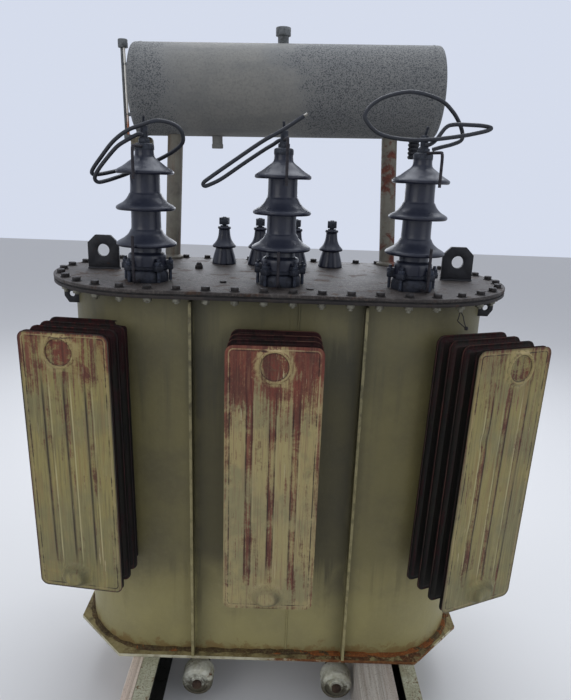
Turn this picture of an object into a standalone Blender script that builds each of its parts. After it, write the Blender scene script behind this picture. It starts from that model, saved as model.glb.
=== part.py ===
# Oil-filled three-phase power transformer with pressed-steel radiators and an
# overhead oil conservator. Metres, +Z up, X along the row of bushings.
# The origin is on the ground under the middle of the tank, the front is -Y.

import math

import bmesh
import bpy
from mathutils import Matrix, Vector
from mathutils.geometry import interpolate_bezier

SMALL_GAP = 0.0003
WELD_DISTANCE = 0.00001
SMOOTH_DEG = 38.0
QUARTER_TURN_DEG = 90.0
HALF_TURN_DEG = 180.0
HOLE_STEPS = 20

# Tank, cover and bottom plate
PLATE_TOP = 0.200
PLATE_THICK = 0.010
PLATE_HALF_LENGTH = 0.588
PLATE_HALF_WIDTH = 0.264
PLATE_CORNER = 0.155
TANK_HALF_LENGTH = 0.569
TANK_HALF_WIDTH = 0.236
TANK_WALL = 0.006
COVER_TOP = 1.284
COVER_THICK = 0.010
COVER_HALF_LENGTH = 0.624
COVER_HALF_WIDTH = 0.307
FLANGE_THICK = 0.010
ARC_STEPS = 12
RIB_X = 0.218
RIB_DEPTH = 0.032
RIB_THICK = 0.008
RIB_TOP_DROP = 0.012

# Bushings of the high-voltage side
HV_PITCH = 0.340
HV_Y = -0.165
HV_STEPS = 20
HV_BASE_RADIUS = 0.052
HV_BASE_HEIGHT = 0.030
HV_SHED_RADII = (0.0750, 0.0730, 0.0705)
HV_SHED_LEVELS = (0.088, 0.176, 0.262)
HV_BARREL_RADIUS = 0.0370
HV_SHED_RISE = 0.046
HV_SHED_LIP = 0.010
HV_SHED_UNDER = 0.004
SHED_MID_SHARE = 0.50
SHED_HIGH_SHARE = 0.18
SHED_TURN_SHARE = 0.45
SHED_MID_RISE_SHARE = 0.42
SHED_HIGH_RISE_SHARE = 0.70
RING_LIP_SHARE = 0.55
RING_TOP_SHARE = 0.84
HV_NECK_RADIUS = 0.0230
HV_TOP_HEIGHT = 0.318
HV_CAP_RADIUS = 0.0235
HV_CAP_HEIGHT = 0.016
HV_STUD_RADIUS = 0.0075
HV_STUD_HEIGHT = 0.034
HV_NUT_RADIUS = 0.0145
HV_NUT_HEIGHT = 0.012
CAP_RIM_SHARE = 0.70
CAP_TOP_SHARE = 0.86
HORN_RADIUS = 0.0035
HORN_REACH = 0.082
HORN_DROP = 0.090
HORN_RISE = 0.098
HORN_LEAN = 0.004
HORN_BEND_SHARE = 0.92
HORN_SIDES = 8
HORN_LEFT_TURN_DEG = -6.0
HORN_CENTRE_TURN_DEG = 0.0
HORN_RIGHT_TURN_DEG = 14.0

# Bushings of the low-voltage side
LV_COUNT = 4
LV_PITCH = 0.1105
LV_X_SHIFT = -0.012
LV_Y = 0.185
LV_STEPS = 16
LV_BASE_RADIUS = 0.037
LV_BASE_HEIGHT = 0.020
LV_WAIST_RADIUS = 0.026
LV_WAIST_HEIGHT = 0.046
LV_SHED_RADIUS = 0.036
LV_SHED_HEIGHT = 0.070
LV_LIP = 0.007
LV_NECK_RADIUS = 0.016
LV_NECK_HEIGHT = 0.106
LV_COLLAR_RADIUS = 0.020
LV_COLLAR_HEIGHT = 0.114
LV_STUD_RADIUS = 0.0075
LV_STUD_HEIGHT = 0.152
LV_NUT_RADIUS = 0.016
LV_NUT_LOW = 0.122
LV_NUT_HIGH = 0.138

# Lifting lugs and the small eye plates
LUG_X = 0.499
LUG_WIDTH = 0.086
LUG_HEIGHT = 0.094
LUG_THICK = 0.012
LUG_CORNER = 0.022
LUG_HOLE_RADIUS = 0.017
LUG_HOLE_DROP = 0.042
EYE_Y = -0.120
EYE_STAND_OUT = 0.0368
EYE_ROOT = 0.0232
EYE_HEIGHT = 0.054
EYE_THICK = 0.008
EYE_CORNER_LONG = 0.018
EYE_CORNER_SHORT = 0.012
EYE_HOLE_RADIUS = 0.0075
EYE_HOLE_INSET = 0.020
EYE_HOLE_DROP = 0.031

# Conservator with its posts and fittings
CONSERVATOR_Y = 0.310
CONSERVATOR_Z = 1.804
CONSERVATOR_RADIUS = 0.134
CONSERVATOR_HALF_LENGTH = 0.460
CONSERVATOR_WALL = 0.005
CONSERVATOR_TILT_DEG = -1.2
CONSERVATOR_STEPS = 36
END_RIM = 0.006
END_DISH = 0.012
DISH_SHARE = 0.90
DISH_INNER_SHARE = 0.78
POST_LEFT_X = -0.354
POST_LEFT_TOP_X = -0.341
POST_RIGHT_X = 0.345
POST_RIGHT_TOP_X = 0.322
POST_Y = 0.272
POST_RADIUS = 0.0240
POST_STEPS = 16
POST_FOOT_RADIUS = 0.034
POST_FOOT_HEIGHT = 0.008
FITTING_STEPS = 20
SEAT_DEEP = 0.006
FILLER_X = -0.012
FILLER_NECK_RADIUS = 0.0165
FILLER_NECK_HEIGHT = 0.028
FILLER_CAP_RADIUS = 0.0225
FILLER_CAP_HEIGHT = 0.024
STUB_X = -0.217
STUB_RADIUS = 0.0165
STUB_LENGTH = 0.038
BREATHER_X = 0.405
BREATHER_RADIUS = 0.0185
BREATHER_LENGTH = 0.062
BREATHER_RIBS = 5
BREATHER_NECK_SHARE = 0.80
BREATHER_RISE_SHARE = 0.25
BREATHER_FALL_SHARE = 0.75
GAUGE_RADIUS = 0.0078
GAUGE_STAND_OFF = 0.028
GAUGE_CAP_RADIUS = 0.0150
GAUGE_CAP_HEIGHT = 0.0245
GAUGE_LOW_DROP = 0.150
GAUGE_TOP_RISE = 0.120
GAUGE_ARM_LEVEL = 0.072
GAUGE_ARM_SHARE = 0.80
POT_X = -0.455
POT_RADIUS = 0.0355
POT_HEIGHT = 0.044
POT_DROP = 0.182
POT_NARROW_SHARE = 0.72
POT_LOW_SHARE = 0.22
POT_HIGH_SHARE = 0.78
POT_NECK_SHARE = 0.45
POT_NECK_TOP_SHARE = 1.60

# Radiators: pressed panels on two header pipes
PANEL_WIDTH = 0.226
PANEL_LOW = 0.492
PANEL_TOP_DROP = 0.097
PANEL_HIGH = COVER_TOP - PANEL_TOP_DROP
PANEL_COUNT = 4
PANEL_PITCH = 0.0460
PANEL_SEAM = 0.0016
PANEL_BULGE = 0.0090
PANEL_EDGE = 0.011
PANEL_VALLEY = 0.014
PANEL_SLOPE = 0.006
PANEL_CORNER = 0.020
FLUTES = 4
GROOVE_START_SHARE = 1.55
HEADER_RADIUS = 0.024
HEADER_STEPS = 16
HEADER_INSET = 0.058
HEADER_REACH = 0.270
BOSS_RADIUS = 0.037
BOSS_RISE = 0.009
BOSS_FACE_SHARE = 0.62
BOSS_STAND_SHARE = 0.55
CENTRE_RADIATOR_X = -0.004
CENTRE_RADIATOR_Y = -0.414
LEFT_RADIATOR_X = -0.502
LEFT_RADIATOR_Y = -0.356
LEFT_RADIATOR_TURN_DEG = -8.5
LEFT_RADIATOR_LEAN_DEG = -0.7
RIGHT_RADIATOR_X = 0.557
RIGHT_RADIATOR_Y = -0.366
RIGHT_RADIATOR_TURN_DEG = 25.0
RIGHT_RADIATOR_LEAN_DEG = 1.6
BACK_RADIATOR_X = 0.545
BACK_RADIATOR_Y = -0.362
BACK_RADIATOR_TURN_DEG = 17.0

# Rollers and what the transformer stands on
ROLLER_X = 0.208
ROLLER_Y = 0.220
ROLLER_AXLE_Z = 0.088
ROLLER_RADIUS = 0.046
ROLLER_WIDTH = 0.062
ROLLER_RIM = 0.006
ROLLER_HUB_RADIUS = 0.020
ROLLER_BORE = 0.0100
ROLLER_AXLE_RADIUS = 0.0095
ROLLER_STEPS = 20
AXLE_HEAD_RADIUS = 0.014
AXLE_HEAD = 0.006
AXLE_PLAY = 0.0010
BRACKET_WIDTH = 0.060
BRACKET_THICK = 0.012
BRACKET_CLEAR = 0.006
CROSS_DEPTH = 0.060
CROSS_HALF_LENGTH = 0.248
CROSS_THICK = 0.008
BEAM_LEFT_X = -0.338
BEAM_RIGHT_X = 0.407
BEAM_WIDTH = 0.044
BEAM_WEB = 0.006
BEAM_FLANGE = 0.007
BEAM_FRONT = 0.440
BEAM_BACK = 0.400
TIMBER_LEFT_X = -0.3765
TIMBER_LEFT_WIDTH = 0.032
TIMBER_RIGHT_X = 0.3125
TIMBER_RIGHT_WIDTH = 0.102

# Wires left on the high-voltage terminals
WIRE_RADIUS = 0.0048
WIRE_FACET_STEPS = 2
ROUTE_STEPS = 2
HANDLE_SHARE = 1.0 / 6.0
WIRE_LEFT = [
    (-0.3400, -0.1777, 1.6362), (-0.3500, -0.1810, 1.6380), (-0.3750, -0.1900, 1.6231),
    (-0.3999, -0.1920, 1.6063), (-0.4301, -0.1920, 1.5733), (-0.4490, -0.1900, 1.5495),
    (-0.4582, -0.1840, 1.5329), (-0.4533, -0.1760, 1.5236), (-0.4372, -0.1630, 1.5269),
    (-0.4128, -0.1420, 1.5367), (-0.3939, -0.1131, 1.5464), (-0.3699, -0.0929, 1.5603),
    (-0.3396, -0.0940, 1.5736), (-0.3114, -0.1060, 1.5853), (-0.2718, -0.1420, 1.6034),
    (-0.2481, -0.1640, 1.6205), (-0.2439, -0.1740, 1.6375), (-0.2519, -0.1820, 1.6548),
    (-0.2748, -0.1860, 1.6661), (-0.3073, -0.1890, 1.6685), (-0.3369, -0.1900, 1.6590),
    (-0.3742, -0.1900, 1.6445), (-0.4091, -0.1880, 1.6186), (-0.4407, -0.1840, 1.5823),
    (-0.4649, -0.1760, 1.5526), (-0.4678, -0.1670, 1.5420), (-0.4564, -0.1540, 1.5419),
    (-0.4365, -0.1360, 1.5467), (-0.4139, -0.1160, 1.5542), (-0.3922, -0.1000, 1.5644),
]
WIRE_CENTRE = [
    (0.0000, -0.1523, 1.6362), (-0.0120, -0.1512, 1.6362), (-0.0260, -0.1530, 1.6270),
    (-0.0488, -0.1580, 1.6128), (-0.0990, -0.1680, 1.5781), (-0.1493, -0.1760, 1.5423),
    (-0.1782, -0.1800, 1.5272), (-0.1911, -0.1820, 1.5232), (-0.1938, -0.1840, 1.5302),
    (-0.1774, -0.1860, 1.5437), (-0.1168, -0.1900, 1.5863), (-0.0504, -0.1920, 1.6318),
    (-0.0043, -0.1920, 1.6581), (0.0449, -0.1900, 1.6911),
]
WIRE_RIGHT = [
    (0.3400, -0.1777, 1.6362), (0.3500, -0.1810, 1.6380), (0.3640, -0.1810, 1.6490),
    (0.3859, -0.1760, 1.6781), (0.4062, -0.1780, 1.6852), (0.4415, -0.1800, 1.6854),
    (0.4751, -0.1800, 1.6843), (0.4917, -0.1820, 1.6802), (0.4846, -0.1840, 1.6742),
    (0.4609, -0.1860, 1.6676), (0.4301, -0.1880, 1.6608), (0.3886, -0.1900, 1.6537),
    (0.3539, -0.1920, 1.6490), (0.3089, -0.1920, 1.6463), (0.2612, -0.1900, 1.6493),
    (0.2226, -0.1880, 1.6594), (0.1975, -0.1860, 1.6800), (0.1893, -0.1840, 1.6988),
    (0.2048, -0.1800, 1.7218), (0.2358, -0.1760, 1.7409), (0.2867, -0.1700, 1.7543),
    (0.3285, -0.1640, 1.7521), (0.3743, -0.1580, 1.7388), (0.4043, -0.1540, 1.7155),
    (0.4240, -0.1500, 1.6905), (0.4346, -0.1480, 1.6668), (0.4326, -0.1480, 1.6517),
    (0.4106, -0.1520, 1.6415), (0.3853, -0.1580, 1.6346), (0.3620, -0.1640, 1.6275),
]


# Colour, roughness and metal share of each material
LOOKS = {
    "tank_paint": ((0.36, 0.34, 0.20), 0.55, 0.0),
    "cover_grime": ((0.10, 0.085, 0.065), 0.75, 0.0),
    "conservator_paint": ((0.33, 0.32, 0.24), 0.6, 0.0),
    "radiator_paint": ((0.42, 0.36, 0.25), 0.6, 0.0),
    "brown_porcelain": ((0.018, 0.010, 0.007), 0.15, 0.0),
    "dull_steel": ((0.16, 0.14, 0.12), 0.5, 0.7),
    "rusty_steel": ((0.17, 0.09, 0.05), 0.8, 0.2),
    "post_paint": ((0.30, 0.24, 0.17), 0.6, 0.0),
    "beam_paint": ((0.30, 0.30, 0.24), 0.75, 0.1),
    "old_timber": ((0.26, 0.21, 0.17), 0.85, 0.0),
    "roller_iron": ((0.27, 0.27, 0.19), 0.7, 0.2),
    "black_sheath": ((0.012, 0.012, 0.012), 0.5, 0.0),
}


def clear_scene():
    for item in list(bpy.data.objects):
        bpy.data.objects.remove(item, do_unlink=True)


def make_material(name, colour, roughness, metallic):
    material = bpy.data.materials.new(name)
    material.use_nodes = True
    shader = material.node_tree.nodes["Principled BSDF"]
    shader.inputs["Base Color"].default_value = (colour[0], colour[1], colour[2], 1.0)
    shader.inputs["Roughness"].default_value = roughness
    shader.inputs["Metallic"].default_value = metallic
    material.diffuse_color = (colour[0], colour[1], colour[2], 1.0)
    return material


def add_object(bm, name, look, smooth_angle=None):
    bmesh.ops.recalc_face_normals(bm, faces=bm.faces[:])
    if smooth_angle is not None:
        for face in bm.faces:
            face.smooth = True
        for edge in bm.edges:
            edge.smooth = edge.calc_face_angle(math.pi) < math.radians(smooth_angle)
    mesh = bpy.data.meshes.new(name)
    bm.to_mesh(mesh)
    bm.free()
    item = bpy.data.objects.new(name, mesh)
    bpy.context.scene.collection.objects.link(item)
    if look is not None:
        mesh.materials.append(MATERIALS[look])
    return item


def combine(target, tool, operation):
    modifier = target.modifiers.new(tool.name, "BOOLEAN")
    modifier.operation = operation
    modifier.solver = "EXACT"
    modifier.object = tool
    tool.hide_render = True
    tool.display_type = "WIRE"
    return modifier


def flat_points(bm, points, level):
    return [bm.verts.new((x, y, level)) for x, y in points]


def prism_bm(points, low, high):
    bm = bmesh.new()
    base = bm.faces.new(flat_points(bm, points, low))
    grown = bmesh.ops.extrude_face_region(bm, geom=[base])
    moved = [part for part in grown["geom"] if isinstance(part, bmesh.types.BMVert)]
    bmesh.ops.translate(bm, verts=moved, vec=(0.0, 0.0, high - low))
    return bm


def box_bm(low, high):
    points = [(low[0], low[1]), (high[0], low[1]), (high[0], high[1]), (low[0], high[1])]
    return prism_bm(points, low[2], high[2])


def obround_points(half_length, half_width, steps=ARC_STEPS):
    middle = half_length - half_width
    quarter = math.pi / 2.0
    points = []
    for side, start in ((1.0, -quarter), (-1.0, quarter)):
        for step in range(steps + 1):
            angle = start + math.pi * step / steps
            points.append((side * middle + half_width * math.cos(angle), half_width * math.sin(angle)))
    return points


def loft_bm(rows, closed_rows, capped):
    """Join rows of points by faces; rows close on themselves or stay open."""
    bm = bmesh.new()
    made = [[bm.verts.new(point) for point in row] for row in rows]
    count = len(made[0])
    for first, second in zip(made, made[1:]):
        for index in range(count if closed_rows else count - 1):
            follow = (index + 1) % count
            bm.faces.new((first[index], first[follow], second[follow], second[index]))
    if capped:
        bm.faces.new(made[0])
        bm.faces.new(made[-1])
    return bm


def revolve_bm(profile, steps):
    """Turn a profile of (radius, height) about Z; its ends may lie on the axis."""
    bm = bmesh.new()
    verts = [bm.verts.new((radius, 0.0, height)) for radius, height in profile]
    edges = [bm.edges.new(pair) for pair in zip(verts, verts[1:])]
    if profile[0][0] > 0.0:
        edges.append(bm.edges.new((verts[-1], verts[0])))
    bmesh.ops.spin(bm, geom=verts + edges, cent=(0.0, 0.0, 0.0), axis=(0.0, 0.0, 1.0),
                   angle=2.0 * math.pi, steps=steps, use_merge=True, use_duplicate=False)
    bmesh.ops.remove_doubles(bm, verts=bm.verts[:], dist=WELD_DISTANCE)
    return bm


def rod_bm(points, radius, sides):
    """A round rod along a run of points, with flat ends."""
    rows = []
    path = [Vector(point) for point in points]
    across = None
    for index, here in enumerate(path):
        before = path[max(index - 1, 0)]
        after = path[min(index + 1, len(path) - 1)]
        along = (after - before).normalized()
        if across is None:
            across = along.orthogonal().normalized()
        across = (across - along * across.dot(along)).normalized()
        other = along.cross(across)
        row = []
        for side in range(sides):
            angle = 2.0 * math.pi * side / sides
            row.append(here + (across * math.cos(angle) + other * math.sin(angle)) * radius)
        rows.append(row)
    return loft_bm(rows, True, True)


def moved_bm(bm, matrix):
    bmesh.ops.transform(bm, matrix=matrix, verts=bm.verts[:])
    return bm


def turned(axis, degrees):
    return Matrix.Rotation(math.radians(degrees), 4, axis)


def placed(x, y, z):
    return Matrix.Translation((x, y, z))


def build_tank():
    low = PLATE_TOP + SMALL_GAP
    high = COVER_TOP - COVER_THICK - SMALL_GAP
    for name, side in (("tank_wall_left", -1.0), ("tank_wall_right", 1.0)):
        rows = []
        outer = obround_points(TANK_HALF_LENGTH, TANK_HALF_WIDTH)
        inner = obround_points(TANK_HALF_LENGTH - TANK_WALL, TANK_HALF_WIDTH - TANK_WALL)
        half = len(outer) // 2
        chosen = slice(0, half) if side > 0.0 else slice(half, None)
        edge = side * SMALL_GAP / 2.0
        path_out = outer[chosen]
        path_in = inner[chosen]
        ends = ((edge, path_out[0][1], path_in[0][1]), (edge, path_out[-1][1], path_in[-1][1]))
        run = [((ends[0][0], ends[0][1]), (ends[0][0], ends[0][2]))]
        run += list(zip(path_out, path_in))
        run.append(((ends[1][0], ends[1][1]), (ends[1][0], ends[1][2])))
        for out_point, in_point in run:
            rows.append([(out_point[0], out_point[1], low), (out_point[0], out_point[1], high),
                         (in_point[0], in_point[1], high), (in_point[0], in_point[1], low)])
        add_object(loft_bm(rows, True, True), name, "tank_paint", SMOOTH_DEG)

    flange_top = COVER_TOP - COVER_THICK - SMALL_GAP
    flange_low = flange_top - FLANGE_THICK
    rows = []
    outer = obround_points(COVER_HALF_LENGTH, COVER_HALF_WIDTH)
    inner = obround_points(TANK_HALF_LENGTH + SMALL_GAP, TANK_HALF_WIDTH + SMALL_GAP)
    for out_point, in_point in zip(outer, inner):
        rows.append([(out_point[0], out_point[1], flange_low), (out_point[0], out_point[1], flange_top),
                     (in_point[0], in_point[1], flange_top), (in_point[0], in_point[1], flange_low)])
    rows.append(rows[0])
    flange = loft_bm(rows, True, False)
    bmesh.ops.remove_doubles(flange, verts=flange.verts[:], dist=WELD_DISTANCE)
    add_object(flange, "tank_flange", "cover_grime", SMOOTH_DEG)

    cover = prism_bm(obround_points(COVER_HALF_LENGTH, COVER_HALF_WIDTH), COVER_TOP - COVER_THICK, COVER_TOP)
    add_object(cover, "cover_plate", "cover_grime", SMOOTH_DEG)

    cut = PLATE_CORNER
    corner = [(PLATE_HALF_LENGTH - cut, -PLATE_HALF_WIDTH), (PLATE_HALF_LENGTH, cut - PLATE_HALF_WIDTH),
              (PLATE_HALF_LENGTH, PLATE_HALF_WIDTH - cut), (PLATE_HALF_LENGTH - cut, PLATE_HALF_WIDTH)]
    points = corner + [(-x, -y) for x, y in corner]
    add_object(prism_bm(points, PLATE_TOP - PLATE_THICK, PLATE_TOP), "bottom_plate", "rusty_steel")

    rib_high = flange_low - RIB_TOP_DROP
    near = TANK_HALF_WIDTH + SMALL_GAP
    far = TANK_HALF_WIDTH + RIB_DEPTH
    for face, sign in (("front", -1.0), ("back", 1.0)):
        for side, centre in (("left", -RIB_X), ("right", RIB_X)):
            edges = sorted((sign * near, sign * far))
            bm = box_bm((centre - RIB_THICK / 2.0, edges[0], PLATE_TOP + SMALL_GAP),
                        (centre + RIB_THICK / 2.0, edges[1], rib_high))
            add_object(bm, "rib_" + face + "_" + side, "tank_paint")


def shed_profile(level, radius, barrel):
    """The bell of one shed, from its underside up to the barrel above it."""
    lip = level + HV_SHED_LIP
    mid_radius = barrel + (radius - barrel) * SHED_MID_SHARE
    high_radius = barrel + (radius - barrel) * SHED_HIGH_SHARE
    return [
        (barrel, level + HV_SHED_UNDER),
        (radius - HV_SHED_LIP, level),
        (radius - HV_SHED_LIP * SHED_TURN_SHARE, level),
        (radius, level + HV_SHED_LIP * SHED_TURN_SHARE),
        (radius - HV_SHED_LIP * SHED_TURN_SHARE, lip),
        (mid_radius, level + HV_SHED_RISE * SHED_MID_RISE_SHARE),
        (high_radius, level + HV_SHED_RISE * SHED_HIGH_RISE_SHARE),
        (barrel, level + HV_SHED_RISE),
    ]


def build_hv_bushing(name, x, horn_turn_deg):
    base = COVER_TOP + SMALL_GAP
    body = base + HV_BASE_HEIGHT + SMALL_GAP
    profile = [(0.0, 0.0), (HV_BARREL_RADIUS, 0.0)]
    for index, (level, radius) in enumerate(zip(HV_SHED_LEVELS, HV_SHED_RADII)):
        barrel = HV_BARREL_RADIUS if index < len(HV_SHED_LEVELS) - 1 else HV_NECK_RADIUS
        shed = shed_profile(level - HV_BASE_HEIGHT, radius, HV_BARREL_RADIUS)
        shed[-1] = (barrel, shed[-1][1])
        profile += shed
    top = HV_TOP_HEIGHT - HV_BASE_HEIGHT
    profile += [(HV_NECK_RADIUS, top), (0.0, top)]
    porcelain = moved_bm(revolve_bm(profile, HV_STEPS), placed(x, HV_Y, body))
    add_object(porcelain, "hv_insulator_" + name, "brown_porcelain", SMOOTH_DEG)

    turn = turned("Z", horn_turn_deg)
    ring = [(0.0, 0.0), (HV_BASE_RADIUS, 0.0), (HV_BASE_RADIUS, HV_BASE_HEIGHT * RING_LIP_SHARE),
            (HV_BASE_RADIUS * RING_TOP_SHARE, HV_BASE_HEIGHT), (0.0, HV_BASE_HEIGHT)]
    foot = add_object(moved_bm(revolve_bm(ring, HV_STEPS), placed(x, HV_Y, base)),
                      "hv_foot_" + name, "dull_steel", SMOOTH_DEG)
    out = HORN_REACH
    rise = HORN_RISE
    tuck = HV_BASE_RADIUS * RING_TOP_SHARE - HORN_RADIUS * 2.0
    low_level = HV_BASE_HEIGHT / 2.0
    horn_points = [(0.0, -tuck, low_level), (0.0, -out * HORN_BEND_SHARE, low_level),
                   (0.0, -out, low_level + HORN_RADIUS * 2.0), (0.0, -out - HORN_LEAN, rise)]
    horn = moved_bm(rod_bm(horn_points, HORN_RADIUS, HORN_SIDES), placed(x, HV_Y, base) @ turn)
    combine(foot, add_object(horn, "tool_low_horn_" + name, None), "UNION")

    seat = body + top + SMALL_GAP
    cap_profile = [(0.0, 0.0), (HV_CAP_RADIUS, 0.0), (HV_CAP_RADIUS, HV_CAP_HEIGHT * CAP_RIM_SHARE),
                   (HV_CAP_RADIUS * CAP_TOP_SHARE, HV_CAP_HEIGHT), (HV_NUT_RADIUS, HV_CAP_HEIGHT),
                   (HV_NUT_RADIUS, HV_CAP_HEIGHT + HV_NUT_HEIGHT),
                   (HV_STUD_RADIUS, HV_CAP_HEIGHT + HV_NUT_HEIGHT),
                   (HV_STUD_RADIUS, HV_CAP_HEIGHT + HV_STUD_HEIGHT), (0.0, HV_CAP_HEIGHT + HV_STUD_HEIGHT)]
    cap = add_object(moved_bm(revolve_bm(cap_profile, HV_STEPS), placed(x, HV_Y, seat)),
                     "hv_terminal_" + name, "dull_steel", SMOOTH_DEG)
    high_level = HV_CAP_HEIGHT * CAP_RIM_SHARE / 2.0
    horn_points = [(0.0, -HV_CAP_RADIUS / 2.0, high_level), (0.0, -out * HORN_BEND_SHARE, high_level),
                   (0.0, -out - HORN_LEAN, high_level - HORN_RADIUS * 2.0),
                   (0.0, -out - HORN_LEAN, high_level - HORN_DROP)]
    horn = moved_bm(rod_bm(horn_points, HORN_RADIUS, HORN_SIDES), placed(x, HV_Y, seat) @ turn)
    combine(cap, add_object(horn, "tool_high_horn_" + name, None), "UNION")


def build_lv_bushing(name, x):
    base = COVER_TOP + SMALL_GAP
    profile = [
        (0.0, 0.0), (LV_BASE_RADIUS, 0.0), (LV_BASE_RADIUS, LV_BASE_HEIGHT),
        (LV_WAIST_RADIUS, LV_BASE_HEIGHT), (LV_WAIST_RADIUS, LV_WAIST_HEIGHT),
        (LV_SHED_RADIUS, LV_WAIST_HEIGHT), (LV_SHED_RADIUS, LV_WAIST_HEIGHT + LV_LIP),
        (LV_NECK_RADIUS + LV_LIP, LV_SHED_HEIGHT), (LV_NECK_RADIUS, LV_NECK_HEIGHT),
        (LV_COLLAR_RADIUS, LV_NECK_HEIGHT), (LV_COLLAR_RADIUS, LV_COLLAR_HEIGHT),
        (LV_STUD_RADIUS, LV_COLLAR_HEIGHT), (LV_STUD_RADIUS, LV_NUT_LOW),
        (LV_NUT_RADIUS, LV_NUT_LOW), (LV_NUT_RADIUS, LV_NUT_HIGH),
        (LV_STUD_RADIUS, LV_NUT_HIGH), (LV_STUD_RADIUS, LV_STUD_HEIGHT), (0.0, LV_STUD_HEIGHT),
    ]
    bm = moved_bm(revolve_bm(profile, LV_STEPS), placed(x, LV_Y, base))
    add_object(bm, "lv_bushing_" + name, "brown_porcelain", SMOOTH_DEG)


def plate_with_hole(name, points, hole, hole_radius, thick, matrix, look):
    """A flat plate in X and Z, thick along Y, with one round hole."""
    upright = matrix @ turned("X", QUARTER_TURN_DEG)
    plate = add_object(moved_bm(prism_bm(points, -thick / 2.0, thick / 2.0), upright), name, look)
    angles = [2.0 * math.pi * step / HOLE_STEPS for step in range(HOLE_STEPS)]
    ring = [(hole[0] + hole_radius * math.cos(angle), hole[1] + hole_radius * math.sin(angle))
            for angle in angles]
    drill = add_object(moved_bm(prism_bm(ring, -thick, thick), upright), "tool_hole_" + name, None)
    combine(plate, drill, "DIFFERENCE")
    return plate


def trim_to_tank(item, name):
    """Cut an item back to just clear of the tank's outer wall."""
    points = obround_points(TANK_HALF_LENGTH + SMALL_GAP, TANK_HALF_WIDTH + SMALL_GAP)
    trim = prism_bm(points, PLATE_TOP, COVER_TOP)
    combine(item, add_object(trim, "tool_trim_" + name, None), "DIFFERENCE")


def build_lugs():
    half = LUG_WIDTH / 2.0
    for name, x in (("left", -LUG_X), ("right", LUG_X)):
        points = [(-half, 0.0), (half, 0.0), (half, LUG_HEIGHT - LUG_CORNER), (half - LUG_CORNER, LUG_HEIGHT),
                  (LUG_CORNER - half, LUG_HEIGHT), (-half, LUG_HEIGHT - LUG_CORNER)]
        plate_with_hole("lifting_lug_" + name, points, (0.0, LUG_HEIGHT - LUG_HOLE_DROP), LUG_HOLE_RADIUS,
                        LUG_THICK, placed(x, 0.0, COVER_TOP + SMALL_GAP), "cover_grime")
    high = COVER_TOP - COVER_THICK - FLANGE_THICK - 2.0 * SMALL_GAP
    wall_x = TANK_HALF_LENGTH - TANK_HALF_WIDTH + math.sqrt(TANK_HALF_WIDTH ** 2 - EYE_Y ** 2)
    reach = wall_x + EYE_STAND_OUT
    for name, side in (("left", -1.0), ("right", 1.0)):
        near = wall_x - EYE_ROOT
        points = [(near, 0.0), (reach, 0.0), (reach, EYE_CORNER_LONG - EYE_HEIGHT),
                  (reach - EYE_CORNER_SHORT, -EYE_HEIGHT), (near, -EYE_HEIGHT)]
        points = [(side * px, pz) for px, pz in points]
        hole = (side * (reach - EYE_HOLE_INSET), -EYE_HOLE_DROP)
        plate = plate_with_hole("eye_plate_" + name, points, hole, EYE_HOLE_RADIUS, EYE_THICK,
                                placed(0.0, EYE_Y, high), "tank_paint")
        trim_to_tank(plate, "eye_" + name)


def conservator_frame():
    return placed(0.0, CONSERVATOR_Y, CONSERVATOR_Z) @ turned("Y", CONSERVATOR_TILT_DEG)


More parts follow.
